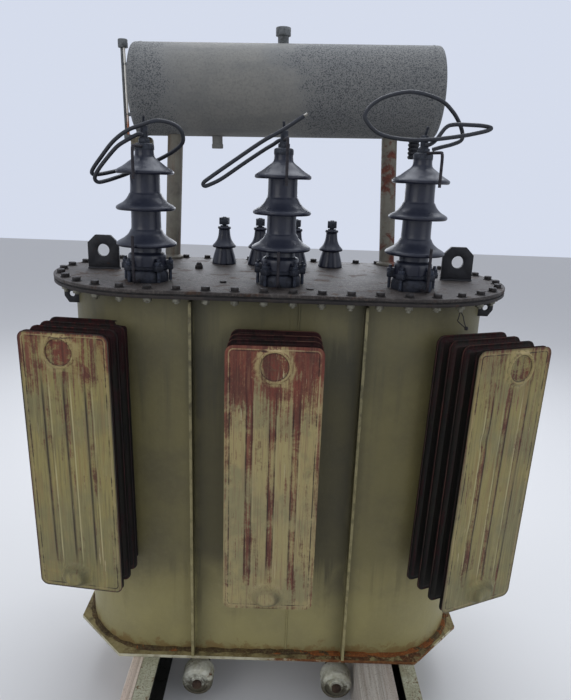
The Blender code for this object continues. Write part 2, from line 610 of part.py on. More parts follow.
def build_conservator():
    frame = conservator_frame()
    along_x = turned("Y", QUARTER_TURN_DEG)
    inner = CONSERVATOR_RADIUS - CONSERVATOR_WALL
    half = CONSERVATOR_HALF_LENGTH - END_RIM
    profile = [(CONSERVATOR_RADIUS, -half), (CONSERVATOR_RADIUS, half), (inner, half), (inner, -half)]
    add_object(moved_bm(revolve_bm(profile, CONSERVATOR_STEPS), frame @ along_x),
               "conservator_shell", "conservator_paint", SMOOTH_DEG)
    dish = [(0.0, SMALL_GAP), (CONSERVATOR_RADIUS, SMALL_GAP), (CONSERVATOR_RADIUS, END_RIM),
            (CONSERVATOR_RADIUS * DISH_SHARE, END_RIM),
            (CONSERVATOR_RADIUS * DISH_INNER_SHARE, END_RIM + END_DISH), (0.0, END_RIM + END_DISH)]
    for name, spin_deg in (("left", -QUARTER_TURN_DEG), ("right", QUARTER_TURN_DEG)):
        bm = moved_bm(revolve_bm(dish, CONSERVATOR_STEPS), placed(0.0, 0.0, half))
        add_object(moved_bm(bm, frame @ turned("Y", spin_deg)), "conservator_end_" + name,
                   "conservator_paint", SMOOTH_DEG)

    cap_top = FILLER_NECK_HEIGHT + FILLER_CAP_HEIGHT
    cap = [(0.0, 0.0), (FILLER_NECK_RADIUS, 0.0), (FILLER_NECK_RADIUS, FILLER_NECK_HEIGHT),
           (FILLER_CAP_RADIUS, FILLER_NECK_HEIGHT), (FILLER_CAP_RADIUS, cap_top), (0.0, cap_top)]
    sink = CONSERVATOR_RADIUS - math.sqrt(CONSERVATOR_RADIUS ** 2 - FILLER_NECK_RADIUS ** 2)
    neck_level = CONSERVATOR_RADIUS - sink
    fit_to_shell("filler_cap", cap, frame @ placed(FILLER_X, 0.0, neck_level - SEAT_DEEP), "dull_steel")

    stub = [(0.0, 0.0), (STUB_RADIUS, 0.0), (STUB_RADIUS, STUB_LENGTH + SEAT_DEEP),
            (0.0, STUB_LENGTH + SEAT_DEEP)]
    down = turned("X", HALF_TURN_DEG)
    fit_to_shell("drain_stub", stub, frame @ placed(STUB_X, 0.0, SEAT_DEEP - CONSERVATOR_RADIUS) @ down,
                 "conservator_paint")
    neck = BREATHER_RADIUS * BREATHER_NECK_SHARE
    profile = [(0.0, 0.0), (neck, 0.0)]
    step = BREATHER_LENGTH / BREATHER_RIBS
    for rib in range(BREATHER_RIBS):
        level = SEAT_DEEP + rib * step
        profile += [(neck, level), (BREATHER_RADIUS, level + step * BREATHER_RISE_SHARE),
                    (BREATHER_RADIUS, level + step * BREATHER_FALL_SHARE)]
    profile += [(neck, SEAT_DEEP + BREATHER_LENGTH), (0.0, SEAT_DEEP + BREATHER_LENGTH)]
    fit_to_shell("breather", profile, frame @ placed(BREATHER_X, 0.0, SEAT_DEEP - CONSERVATOR_RADIUS) @ down,
                 "dull_steel")


def shell_cutter(name, half_length):
    radius = CONSERVATOR_RADIUS + SMALL_GAP
    profile = [(0.0, -half_length), (radius, -half_length), (radius, half_length), (0.0, half_length)]
    lie = conservator_frame() @ turned("Y", QUARTER_TURN_DEG)
    return add_object(moved_bm(revolve_bm(profile, CONSERVATOR_STEPS * 2), lie), name, None)


def fit_to_shell(name, profile, matrix, look):
    """A turned fitting whose foot is shaped to lie on the conservator's round shell."""
    item = add_object(moved_bm(revolve_bm(profile, FITTING_STEPS), matrix), name, look, SMOOTH_DEG)
    cutter = shell_cutter("tool_shell_" + name, CONSERVATOR_HALF_LENGTH + END_DISH)
    combine(item, cutter, "DIFFERENCE")
    return item


def build_posts():
    """Round posts that lean a little and end under the conservator's round shell."""
    tilt = math.tan(math.radians(CONSERVATOR_TILT_DEG))
    base = COVER_TOP + SMALL_GAP
    for name, x, top_x in (("left", POST_LEFT_X, POST_LEFT_TOP_X), ("right", POST_RIGHT_X, POST_RIGHT_TOP_X)):
        rise = CONSERVATOR_Z - tilt * top_x - base
        profile = [(0.0, 0.0), (POST_FOOT_RADIUS, 0.0), (POST_FOOT_RADIUS, POST_FOOT_HEIGHT),
                   (POST_RADIUS, POST_FOOT_HEIGHT), (POST_RADIUS, rise), (0.0, rise)]
        bm = revolve_bm(profile, POST_STEPS)
        for vert in bm.verts:
            vert.co.x += vert.co.z * (top_x - x) / rise
            vert.co.y += vert.co.z * (CONSERVATOR_Y - POST_Y) / rise
        item = add_object(moved_bm(bm, placed(x, POST_Y, base)), "conservator_post_" + name,
                          "post_paint", SMOOTH_DEG)
        cutter = shell_cutter("tool_shell_post_" + name, CONSERVATOR_HALF_LENGTH)
        combine(item, cutter, "DIFFERENCE")


def build_gauge():
    """The level pipe on the left end, with its cap and the small pot at its foot."""
    frame = conservator_frame()
    x = -(CONSERVATOR_HALF_LENGTH + END_DISH + GAUGE_STAND_OFF)
    wall_x = -(CONSERVATOR_HALF_LENGTH + END_DISH + SMALL_GAP)
    low = -GAUGE_LOW_DROP
    pipe = [(0.0, low), (GAUGE_RADIUS, low), (GAUGE_RADIUS, GAUGE_TOP_RISE),
            (GAUGE_CAP_RADIUS, GAUGE_TOP_RISE), (GAUGE_CAP_RADIUS, GAUGE_TOP_RISE + GAUGE_CAP_HEIGHT),
            (0.0, GAUGE_TOP_RISE + GAUGE_CAP_HEIGHT)]
    item = add_object(moved_bm(revolve_bm(pipe, FITTING_STEPS), frame @ placed(x, 0.0, 0.0)),
                      "level_gauge", "dull_steel", SMOOTH_DEG)
    for name, level in (("high", GAUGE_ARM_LEVEL), ("low", -GAUGE_ARM_LEVEL)):
        arm = rod_bm([(wall_x, 0.0, level), (x, 0.0, level)], GAUGE_RADIUS * GAUGE_ARM_SHARE, FITTING_STEPS)
        tool = add_object(moved_bm(arm, frame), "tool_gauge_arm_" + name, None)
        combine(item, tool, "UNION")
    narrow = POT_RADIUS * POT_NARROW_SHARE
    neck = POT_RADIUS * POT_NECK_SHARE
    pot_top = POT_HEIGHT * POT_NECK_TOP_SHARE
    pot = [(0.0, 0.0), (narrow, 0.0), (POT_RADIUS, POT_HEIGHT * POT_LOW_SHARE),
           (POT_RADIUS, POT_HEIGHT * POT_HIGH_SHARE), (narrow, POT_HEIGHT), (neck, POT_HEIGHT),
           (neck, pot_top), (0.0, pot_top)]
    matrix = frame @ placed(POT_X, 0.0, -POT_DROP)
    fit_to_shell("oil_pot", pot, matrix, "rusty_steel")


def flute_offsets():
    """Distances across the panel with the half thickness there: seam, flutes and grooves."""
    half = PANEL_WIDTH / 2.0
    inner = half - PANEL_EDGE
    step = (2.0 * inner + PANEL_VALLEY) / FLUTES
    run = [(-half, PANEL_SEAM)]
    for flute in range(FLUTES):
        start = -inner + flute * step
        end = start + step - PANEL_VALLEY
        run += [(start, PANEL_SEAM), (start + PANEL_SLOPE, PANEL_BULGE),
                (end - PANEL_SLOPE, PANEL_BULGE), (end, PANEL_SEAM)]
    run.append((half, PANEL_SEAM))
    return run


def panel_bm():
    """One pressed panel, lofted up from its lower seam to its upper seam."""
    half = PANEL_WIDTH / 2.0
    offsets = flute_offsets()
    full = PANEL_HIGH - PANEL_LOW
    levels = [(0.0, PANEL_CORNER, 0.0, 0.0), (PANEL_EDGE, 0.0, 0.0, 0.0),
              (PANEL_EDGE + PANEL_SLOPE, 0.0, 1.0, 0.0), (HEADER_INSET * GROOVE_START_SHARE, 0.0, 1.0, 0.0),
              (HEADER_INSET * GROOVE_START_SHARE + PANEL_SLOPE, 0.0, 1.0, 1.0)]
    levels += [(full - level, corner, bulge, groove) for level, corner, bulge, groove in reversed(levels)]
    rows = []
    for level, corner, bulge, groove in levels:
        front = []
        back = []
        for index, (offset, thick) in enumerate(offsets):
            edge = index in (0, len(offsets) - 1)
            rim = index in (1, len(offsets) - 2)
            if edge or rim:
                deep = PANEL_SEAM
            elif groove > 0.0:
                deep = thick
            else:
                deep = PANEL_SEAM + (PANEL_BULGE - PANEL_SEAM) * bulge
            x = offset * (half - corner) / half
            front.append((x, -deep, PANEL_LOW + level))
            back.append((x, deep, PANEL_LOW + level))
        rows.append(front + list(reversed(back)))
    return loft_bm(rows, True, True)


def build_radiator(name, x, y, turn_deg, lean_deg, mirrored):
    """Panels stacked on two header pipes that end at the tank wall."""
    flip = Matrix.Scale(-1.0, 4, (0.0, 1.0, 0.0)) if mirrored else Matrix.Identity(4)
    lean = placed(0.0, 0.0, PANEL_HIGH) @ turned("Y", lean_deg) @ placed(0.0, 0.0, -PANEL_HIGH)
    matrix = flip @ placed(x, y, 0.0) @ turned("Z", turn_deg) @ lean
    item = None
    for index in range(PANEL_COUNT):
        shift = PANEL_BULGE + index * PANEL_PITCH
        bm = moved_bm(moved_bm(panel_bm(), placed(0.0, shift, 0.0)), matrix)
        if item is None:
            item = add_object(bm, "radiator_" + name, "radiator_paint", SMOOTH_DEG)
        else:
            combine(item, add_object(bm, "tool_panel_" + name + str(index), None), "UNION")
    lie = turned("X", -QUARTER_TURN_DEG)
    reach = HEADER_REACH
    for end, level in (("low", PANEL_LOW + HEADER_INSET), ("high", PANEL_HIGH - HEADER_INSET)):
        profile = [(0.0, 0.0), (BOSS_RADIUS * BOSS_FACE_SHARE, 0.0), (BOSS_RADIUS, BOSS_RISE),
                   (BOSS_RADIUS, BOSS_RISE + PANEL_BULGE), (HEADER_RADIUS, BOSS_RISE + PANEL_BULGE),
                   (HEADER_RADIUS, reach), (0.0, reach)]
        stand = placed(0.0, -BOSS_RISE * BOSS_STAND_SHARE, level)
        bm = moved_bm(revolve_bm(profile, HEADER_STEPS), stand @ lie)
        combine(item, add_object(moved_bm(bm, matrix), "tool_header_" + name + end, None), "UNION")
    trim_to_tank(item, name)


def build_radiators():
    build_radiator("front_centre", CENTRE_RADIATOR_X, CENTRE_RADIATOR_Y, 0.0, 0.0, False)
    build_radiator("front_left", LEFT_RADIATOR_X, LEFT_RADIATOR_Y, LEFT_RADIATOR_TURN_DEG,
                   LEFT_RADIATOR_LEAN_DEG, False)
    build_radiator("front_right", RIGHT_RADIATOR_X, RIGHT_RADIATOR_Y, RIGHT_RADIATOR_TURN_DEG,
                   RIGHT_RADIATOR_LEAN_DEG, False)
    build_radiator("back_centre", 0.0, CENTRE_RADIATOR_Y, 0.0, 0.0, True)
    build_radiator("back_left", -BACK_RADIATOR_X, BACK_RADIATOR_Y, -BACK_RADIATOR_TURN_DEG, 0.0, True)
    build_radiator("back_right", BACK_RADIATOR_X, BACK_RADIATOR_Y, BACK_RADIATOR_TURN_DEG, 0.0, True)


def build_undercarriage():
    under = PLATE_TOP - PLATE_THICK - SMALL_GAP
    lie = turned("X", QUARTER_TURN_DEG)
    for face, sign in (("front", -1.0), ("back", 1.0)):
        flip = Matrix.Scale(sign * -1.0, 4, (0.0, 1.0, 0.0))
        face_y = -ROLLER_Y + ROLLER_WIDTH / 2.0 + BRACKET_CLEAR
        bar = box_bm((-CROSS_HALF_LENGTH, face_y, under - CROSS_THICK),
                     (CROSS_HALF_LENGTH, face_y + CROSS_DEPTH, under))
        item = add_object(moved_bm(bar, flip), "roller_bar_" + face, "rusty_steel")
        for side, x in (("left", -ROLLER_X), ("right", ROLLER_X)):
            arm = box_bm((x - BRACKET_WIDTH / 2.0, face_y, ROLLER_AXLE_Z - BRACKET_WIDTH / 2.0),
                         (x + BRACKET_WIDTH / 2.0, face_y + BRACKET_THICK, under - CROSS_THICK / 2.0))
            combine(item, add_object(moved_bm(arm, flip), "tool_arm_" + face + side, None), "UNION")
            axle_run = ROLLER_WIDTH + BRACKET_CLEAR + AXLE_PLAY
            profile = [(0.0, -BRACKET_THICK / 2.0), (ROLLER_AXLE_RADIUS, -BRACKET_THICK / 2.0),
                       (ROLLER_AXLE_RADIUS, axle_run), (AXLE_HEAD_RADIUS, axle_run),
                       (AXLE_HEAD_RADIUS, axle_run + AXLE_HEAD), (0.0, axle_run + AXLE_HEAD)]
            axle = moved_bm(revolve_bm(profile, ROLLER_STEPS), flip @ placed(x, face_y, ROLLER_AXLE_Z) @ lie)
            combine(item, add_object(axle, "tool_axle_" + face + side, None), "UNION")

            half = ROLLER_WIDTH / 2.0
            inner = ROLLER_RADIUS - ROLLER_RIM
            crown = ROLLER_RADIUS - ROLLER_RIM / 2.0
            drum = [(ROLLER_BORE, -half), (ROLLER_HUB_RADIUS, -half), (ROLLER_HUB_RADIUS, ROLLER_RIM - half),
                    (inner, ROLLER_RIM - half), (crown, -half), (ROLLER_RADIUS, ROLLER_RIM / 2.0 - half),
                    (ROLLER_RADIUS, half - ROLLER_RIM / 2.0), (crown, half), (inner, half - ROLLER_RIM),
                    (ROLLER_HUB_RADIUS, half - ROLLER_RIM), (ROLLER_HUB_RADIUS, half), (ROLLER_BORE, half)]
            roller = moved_bm(revolve_bm(drum, ROLLER_STEPS), lie)
            item_roller = add_object(roller, "roller_" + face + "_" + side, "roller_iron", SMOOTH_DEG)
            item_roller.location = (x, sign * ROLLER_Y, ROLLER_AXLE_Z)

    lie = turned("X", QUARTER_TURN_DEG)
    for name, x, open_side in (("left", BEAM_LEFT_X, 1.0), ("right", BEAM_RIGHT_X, -1.0)):
        half = BEAM_WIDTH / 2.0
        web = BEAM_WEB - half
        section = [(-half, 0.0), (half, 0.0), (half, BEAM_FLANGE), (web, BEAM_FLANGE),
                   (web, under - BEAM_FLANGE), (half, under - BEAM_FLANGE), (half, under), (-half, under)]
        section = [(open_side * sx, sz) for sx, sz in section]
        bm = moved_bm(prism_bm(section, -BEAM_BACK, BEAM_FRONT), placed(x, 0.0, 0.0) @ lie)
        add_object(bm, "beam_" + name, "beam_paint")
    for name, x, width in (("left", TIMBER_LEFT_X, TIMBER_LEFT_WIDTH),
                           ("right", TIMBER_RIGHT_X, TIMBER_RIGHT_WIDTH)):
        bm = box_bm((x - width / 2.0, -BEAM_FRONT, 0.0), (x + width / 2.0, BEAM_BACK, under))
        add_object(bm, "timber_" + name, "old_timber")


def build_wires():
    for name, route in (("left", WIRE_LEFT), ("centre", WIRE_CENTRE), ("right", WIRE_RIGHT)):
        curve = bpy.data.curves.new("wire_" + name, "CURVE")
        curve.dimensions = "3D"
        spline = curve.splines.new("POLY")
        points = smooth_route(route)
        spline.points.add(len(points) - 1)
        for point, place in zip(spline.points, points):
            point.co = (place[0], place[1], place[2], 1.0)
        curve.bevel_depth = WIRE_RADIUS
        curve.bevel_resolution = WIRE_FACET_STEPS
        curve.use_fill_caps = True
        item = bpy.data.objects.new("wire_" + name, curve)
        bpy.context.scene.collection.objects.link(item)
        curve.materials.append(MATERIALS["black_sheath"])


def smooth_route(route):
    """Points of a smooth curve through the route."""
    points = [Vector(point) for point in route]
    last = len(points) - 1
    run = []
    for index in range(last):
        start = points[index]
        end = points[index + 1]
        first_handle = start + (end - points[max(index - 1, 0)]) * HANDLE_SHARE
        second_handle = end - (points[min(index + 2, last)] - start) * HANDLE_SHARE
        run += interpolate_bezier(start, first_handle, second_handle, end, ROUTE_STEPS + 1)[:-1]
    run.append(points[-1])
    return run


clear_scene()
MATERIALS = {name: make_material(name, *look) for name, look in LOOKS.items()}
build_tank()
build_hv_bushing("left", -HV_PITCH, HORN_LEFT_TURN_DEG)
build_hv_bushing("centre", 0.0, HORN_CENTRE_TURN_DEG)
build_hv_bushing("right", HV_PITCH, HORN_RIGHT_TURN_DEG)
for number in range(LV_COUNT):
    build_lv_bushing(str(number + 1), LV_X_SHIFT + LV_PITCH * (number - (LV_COUNT - 1) / 2.0))
build_lugs()
build_conservator()
build_posts()
build_gauge()
build_radiators()
build_undercarriage()
build_wires()
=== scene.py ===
import math
import random

import bmesh
import bpy
from mathutils import Matrix, Vector, noise
from mathutils.geometry import interpolate_bezier


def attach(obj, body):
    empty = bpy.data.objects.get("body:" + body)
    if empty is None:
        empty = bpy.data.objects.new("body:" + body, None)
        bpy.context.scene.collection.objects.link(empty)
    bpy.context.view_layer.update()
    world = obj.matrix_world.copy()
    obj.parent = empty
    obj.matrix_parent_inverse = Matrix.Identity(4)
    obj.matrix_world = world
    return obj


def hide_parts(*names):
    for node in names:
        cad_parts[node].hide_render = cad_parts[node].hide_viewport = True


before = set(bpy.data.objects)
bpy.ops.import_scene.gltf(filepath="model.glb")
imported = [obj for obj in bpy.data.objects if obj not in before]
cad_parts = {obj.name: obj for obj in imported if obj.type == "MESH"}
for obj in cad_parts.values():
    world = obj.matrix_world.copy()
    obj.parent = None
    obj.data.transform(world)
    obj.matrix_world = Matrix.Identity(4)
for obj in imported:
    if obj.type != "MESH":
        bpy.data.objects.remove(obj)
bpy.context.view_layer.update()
scene = bpy.context.scene
random.seed(7)
print("frame loaded")


class Named(dict):
    __getattr__ = dict.__getitem__


# camera

cameraSizes = Named({
    "place": (0.009, -1.723, 1.555),
    "turnDeg": 0.445,
    "tiltDeg": -16.007,
    "rollDeg": 2.041,
    "lens": 31.29,
})


def turn(axis, degrees):
    return Matrix.Rotation(math.radians(degrees), 4, axis)


def shift(x, y, z):
    return Matrix.Translation((x, y, z))


camera = bpy.data.objects.new("camera", bpy.data.cameras.new("camera"))
camera.data.lens = cameraSizes.lens
camera.data.sensor_width = 36.0
camera.matrix_world = (shift(*cameraSizes.place) @ turn("Z", -cameraSizes.turnDeg)
                       @ turn("X", 90.0 + cameraSizes.tiltDeg) @ turn("Z", cameraSizes.rollDeg))
scene.collection.objects.link(camera)
scene.camera = camera


# material helpers; a Field is a shader value that adds and multiplies like a number

class Field:
    def __init__(self, socket):
        self.socket = socket
        self.tree = socket.id_data

    def __add__(self, other):
        return sums("ADD", self, other)

    def __radd__(self, other):
        return sums("ADD", other, self)

    def __sub__(self, other):
        return sums("SUBTRACT", self, other)

    def __rsub__(self, other):
        return sums("SUBTRACT", other, self)

    def __mul__(self, other):
        return sums("MULTIPLY", self, other)

    def __abs__(self):
        return sums("ABSOLUTE", self)


def put(kind, output, inputs, tree=None, **settings):
    tree = tree or next(value.tree for value in inputs.values() if isinstance(value, Field))
    made = tree.nodes.new("ShaderNode" + kind)
    for key, value in settings.items():
        setattr(made, key, value)
    for key, value in inputs.items():
        if isinstance(value, Field):
            tree.links.new(value.socket, made.inputs[key])
        else:
            made.inputs[key].default_value = value
    return Field(made.outputs[output])


def sums(operation, first, second=0.0):
    return put("Math", 0, {0: first, 1: second}, operation=operation)


def larger(first, second):
    return sums("MAXIMUM", first, second)


def startMaterial(name, roughness=0.5, metallic=0.0, shine=0.5, coat=0.0):
    material = bpy.data.materials.new(name)
    material.use_nodes = True
    tree = material.node_tree
    values = {"Roughness": roughness, "Metallic": metallic, "Specular IOR Level": shine, "Coat Weight": coat}
    for key, value in values.items():
        tree.nodes["Principled BSDF"].inputs[key].default_value = value
    return material, put("TexCoord", "Object", {}, tree)


def stretched(place, scale):
    return put("Mapping", "Vector", {"Vector": place, "Scale": scale})


def cloud(place, scale, detail=4.0, roughness=0.55, distortion=0.0):
    values = {"Vector": place, "Scale": scale, "Detail": detail, "Roughness": roughness, "Distortion": distortion}
    return put("TexNoise", "Fac", values)


def between(value, low, high):
    inputs = {"Value": value, "From Min": low, "From Max": high}
    return put("MapRange", "Result", inputs, interpolation_type="SMOOTHSTEP")


def colour(value):
    if isinstance(value, Field):
        return value
    return tuple((channel / 255.0) ** 2.2 for channel in value) + (1.0,)


def mix(share, first, second):
    return put("Mix", 2, {0: share, 6: colour(first), 7: colour(second)}, data_type="RGBA")


def coats(tint, *layers):
    for share, coat in layers:
        tint = mix(share, tint, coat)
    return tint


def parts(place):
    made = put("SeparateXYZ", 0, {0: place}).socket.node
    return [Field(output) for output in made.outputs]


def normalParts(place):
    return parts(put("NewGeometry", "Normal", {}, place.tree))


def band(value, start, full, ebb, end):
    return between(value, start, full) * (1.0 - between(value, ebb, end))


def centred(value, weight):
    return (value - 0.5) * weight


def finished(material, tint, rough=None, height=None, strength=0.0, distance=0.0):
    inputs = material.node_tree.nodes["Principled BSDF"].inputs
    bump = height and put("Bump", "Normal", {"Height": height, "Strength": strength, "Distance": distance})
    for name, source in (("Base Color", tint), ("Roughness", rough), ("Normal", bump)):
        if source:
            source.tree.links.new(source.socket, inputs[name])
    return material


# materials that several pieces share

usualPaint = {
    "rough": 0.62, "shine": 0.4, "bump": 0.35, "patchScale": 9.0, "fineScale": 70.0, "fineShare": 0.35,
    "runStretch": (34.0, 34.0, 1.6), "runLow": -9.0, "runHigh": -8.0, "runShare": 0.5, "rustScale": 26.0,
    "rustFrom": 0.62, "rustSoft": 0.07, "faceFlecks": 0.4, "wetShine": 0.0,
}


def agedPaint(name, **look):
    look = Named({**usualPaint, **look})
    material, place = startMaterial(name, look.rough, shine=look.shine)
    across, deep, level = parts(place)
    patch = between(cloud(place, look.patchScale, 6.0, 0.62), 0.38, 0.68)
    tint = mix(patch, look.paint, look.patch)
    fine = between(cloud(place, look.fineScale, 6.0, 0.7), 0.42, 0.7)
    tint = mix(fine * look.fineShare, tint, look.speck)
    runs = between(cloud(stretched(place, look.runStretch), 1.0, 5.0, 0.6), 0.47, 0.7)
    wet = runs * between(level, look.runLow, look.runHigh) * look.runShare
    tint = mix(wet, tint, look.run)
    rusty = cloud(place, look.rustScale, 7.0, 0.68, 0.4)
    start = look.rustFrom
    if "lichen" in look:
        spread = across + centred(patch, 0.1)
        dense = larger(between(spread, -0.26, -0.42), between(spread, -0.09, 0.08))
        start = start - dense * look.lichen
        tint = mix(dense * 0.55, tint, look.dense)
    if "rightRust" in look:
        start = start - between(across, -0.14, 0.32) * 0.22 + between(across, 0.37, 0.5) * 0.1
    spots = between(rusty, start, start + look.rustSoft)
    tint = mix(spots, tint, mix(fine, look.rust, look.rustLight))
    # painted shade: this darkens the tank wall behind and between the radiators and in a strip beside each rib; the
    # foot colour is a painted lighter band near the bottom where floor light falls
    if "shelter" in look:
        edge = level + centred(runs, 0.08)
        zone = band(edge, 0.39, 0.5, 1.06, 1.18)
        aside = abs(across + centred(patch, 0.02))
        inner = between(aside, 0.228, 0.2) * 0.36
        outer = between(across, -0.34, -0.45) * 0.16
        share = zone * (inner + outer + 0.28)
        strip = band(aside, 0.13, 0.208, 0.213, 0.222) * 0.46
        share = larger(share, strip)
        tint = coats(tint, (share, look.shelter), (between(edge, 0.42, 0.3) * 0.26, look.foot))
    if "low" in look:
        edge = level + (rusty - 0.5) * 0.16
        ground = 1.0 - between(edge, look.lowEnd - look.lowSoft, look.lowEnd)
        tint = mix(ground * look.lowShare, tint, look.low)
    if "top" in look:
        edge = level + (runs - 0.5) * 0.09
        above = between(edge, look.topStart, look.topStart + look.topSoft)
        tint = mix(above * look.topShare, tint, look.top)
    # painted shade: below the top flange the beam faces, apart from the outer sides and the ends, are made near
    # black
    if "inward" in look:
        normal = normalParts(place)
        outward = between(normal[0] * sums("SIGN", across) + abs(normal[1]), 0.6, 0.3)
        shadedSide = outward * between(level, 0.184, 0.176)
        tint = mix(shadedSide * 0.97, tint, look.inward)
    # front faces: on the ribs a paler tone as a painted highlight, broken into flecks; on the rollers a darker tone
    if "faces" in look:
        facing = between(abs(normalParts(place)[look.faces]), 0.45, 0.8)
        flecked = facing * (1.0 - patch * look.faceFlecks)
        tint = mix(flecked * look.faceShare, tint, look.face)
    rough = look.rough + spots * 0.2 - wet * look.wetShine
    return finished(material, tint, rough, fine * 0.4 + rusty * 0.9, look.bump, 0.0015)


def metalSkin(name, base, dark, light, metallic, rough, scale=90.0, bump=0.35):
    material, place = startMaterial(name, rough, metallic)
    grime = between(cloud(place, scale, 6.0, 0.65), 0.4, 0.68)
    spots = between(cloud(place, scale * 3.1, 5.0, 0.6), 0.55, 0.75)
    tint = coats(base, (grime, dark), (spots * 0.6, light))
    return finished(material, tint, rough + grime * 0.2, grime + spots, bump, 0.0008)


# mesh helpers

def pour(target, source, matrix=None):
    mesh = bpy.data.meshes.new("poured")
    source.to_mesh(mesh)
    source.free()
    if matrix is not None:
        mesh.transform(matrix)
        if matrix.determinant() < 0.0:
            mesh.flip_normals()
    target.from_mesh(mesh)
    bpy.data.meshes.remove(mesh)


def turned(profile, steps):
    bm = bmesh.new()
    verts = [bm.verts.new((radius, 0.0, height)) for radius, height in profile]
    edges = [bm.edges.new(pair) for pair in zip(verts, verts[1:])]
    if profile[0][0] > 0.0 and profile[-1][0] > 0.0:
        edges.append(bm.edges.new((verts[-1], verts[0])))
    bmesh.ops.spin(bm, geom=verts + edges, cent=(0, 0, 0), axis=(0, 0, 1), angle=2.0 * math.pi,
                   steps=steps, use_merge=True, use_duplicate=False)
    bmesh.ops.remove_doubles(bm, verts=bm.verts[:], dist=0.00001)
    bmesh.ops.recalc_face_normals(bm, faces=bm.faces[:])
    return bm


def smoothRoute(route, steps):
    points = [Vector(point) for point in route]
    last = len(points) - 1
    run = []
    for index in range(last):
        start, end = points[index], points[index + 1]
        first = start + (end - points[max(index - 1, 0)]) / 6.0
        second = end - (points[min(index + 2, last)] - start) / 6.0
        run += interpolate_bezier(start, first, second, end, steps + 1)[:-1]
    return run + points[-1:]


def softened(profile, steps=5):
    run = smoothRoute([(radius, 0.0, height) for radius, height in profile], steps)
    return [(max(point.x, 0.0), point.z) for point in run]


def rounded(bm, width, segments=2, angleDeg=30.0):
    sharp = [edge for edge in bm.edges if edge.calc_face_angle(0.0) > math.radians(angleDeg)]
    bmesh.ops.bevel(bm, geom=sharp, offset=width, offset_type="OFFSET", affect="EDGES", segments=segments,
                    profile=0.5, material=-1, clamp_overlap=True)
    return bm


def block(low, high, bevel=0.0, segments=2):
    bm = bmesh.new()
    bmesh.ops.create_cube(bm, size=1.0)
    size = Vector(high) - Vector(low)
    bmesh.ops.scale(bm, vec=size, verts=bm.verts[:])
    bmesh.ops.translate(bm, vec=Vector(low) + size / 2.0, verts=bm.verts[:])
    return rounded(bm, bevel, segments) if bevel else bm


def bar(radius, low, high, sides, bevel=0.0, segments=1):
    bm = bmesh.new()
    bmesh.ops.create_cone(bm, cap_ends=True, segments=sides, radius1=radius, radius2=radius, depth=high - low)
    bmesh.ops.translate(bm, vec=(0.0, 0.0, (low + high) / 2.0), verts=bm.verts[:])
    return rounded(bm, bevel, segments, 60.0 if sides > 8 else 50.0) if bevel else bm


def thicken(bm, way):
    grown = bmesh.ops.extrude_face_region(bm, geom=bm.faces[:])
    raised = [item for item in grown["geom"] if isinstance(item, bmesh.types.BMVert)]
    bmesh.ops.translate(bm, verts=raised, vec=way)
    bmesh.ops.recalc_face_normals(bm, faces=bm.faces[:])


def slab(points, low, high, bevel=0.0, segments=2):
    bm = bmesh.new()
    bm.faces.new([bm.verts.new((x, y, low)) for x, y in points])
    thicken(bm, (0.0, 0.0, high - low))
    return rounded(bm, bevel, segments) if bevel else bm


def obround(halfLength, halfWidth, low, high, steps=120):
    bm = bmesh.new()
    bmesh.ops.create_circle(bm, cap_ends=True, segments=steps, radius=halfWidth)
    bmesh.ops.rotate(bm, verts=bm.verts[:], cent=(0, 0, 0), matrix=Matrix.Rotation(math.pi / steps, 3, "Z"))
    for vert in bm.verts:
        vert.co.x += math.copysign(halfLength - halfWidth, vert.co.x)
        vert.co.z = low
    thicken(bm, (0.0, 0.0, high - low))
    return bm


def obroundRing(halfLength, halfWidth, wall, low, high, steps=120):
    bm = obround(halfLength, halfWidth, low, high, steps)
    caps = [face for face in bm.faces if len(face.verts) > 4]
    bmesh.ops.inset_region(bm, faces=caps, thickness=wall, use_even_offset=True)
    caps = [face for face in bm.faces if len(face.verts) > 4]
    bridge = [edge for face in caps for edge in face.edges]
    bmesh.ops.delete(bm, geom=caps, context="FACES_ONLY")
    bmesh.ops.bridge_loops(bm, edges=bridge)
    bmesh.ops.recalc_face_normals(bm, faces=bm.faces[:])
    return bm


def tube(name, path, radius, sides, caps=True):
    curve = bpy.data.curves.new(name, "CURVE")
    curve.dimensions = "3D"
    curve.bevel_depth = radius
    curve.bevel_resolution = sides
    curve.use_fill_caps = caps
    line = curve.splines.new("POLY")
    line.points.add(len(path) - 1)
    for point, place in zip(line.points, path):
        point.co = (*place, 1.0)
    return bpy.data.objects.new(name, curve)


def along(points, radius, sides=4, caps=True, smooth=0):
    item = tube("rod", smoothRoute(points, smooth) if smooth else points, radius, sides, caps)
    curve = item.data
    mesh = bpy.data.meshes.new_from_object(item)
    bm = bmesh.new()
    bm.from_mesh(mesh)
    bmesh.ops.remove_doubles(bm, verts=bm.verts[:], dist=0.00001)
    bmesh.ops.recalc_face_normals(bm, faces=bm.faces[:])
    bpy.data.objects.remove(item)
    bpy.data.curves.remove(curve)
    bpy.data.meshes.remove(mesh)
    return bm


def keep(name, bm, material, replaces=(), at=None, body="transformer", sharpDeg=35.0, weld=0.00002):
    if at is not None:
        bm, form = bmesh.new(), bm
        pour(bm, form, at)
    bmesh.ops.remove_doubles(bm, verts=bm.verts[:], dist=weld)
    bmesh.ops.recalc_face_normals(bm, faces=bm.faces[:])
    mesh = bpy.data.meshes.new(name)
    bm.to_mesh(mesh)
    bm.free()
    mesh.shade_smooth()
    mesh.set_sharp_from_angle(angle=math.radians(sharpDeg))
    piece = bpy.data.objects.new(name, mesh)
    scene.collection.objects.link(piece)
    mesh.materials.append(material)
    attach(piece, body)
    if replaces:
        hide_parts(*replaces)
    return piece


# loose wires on the terminals

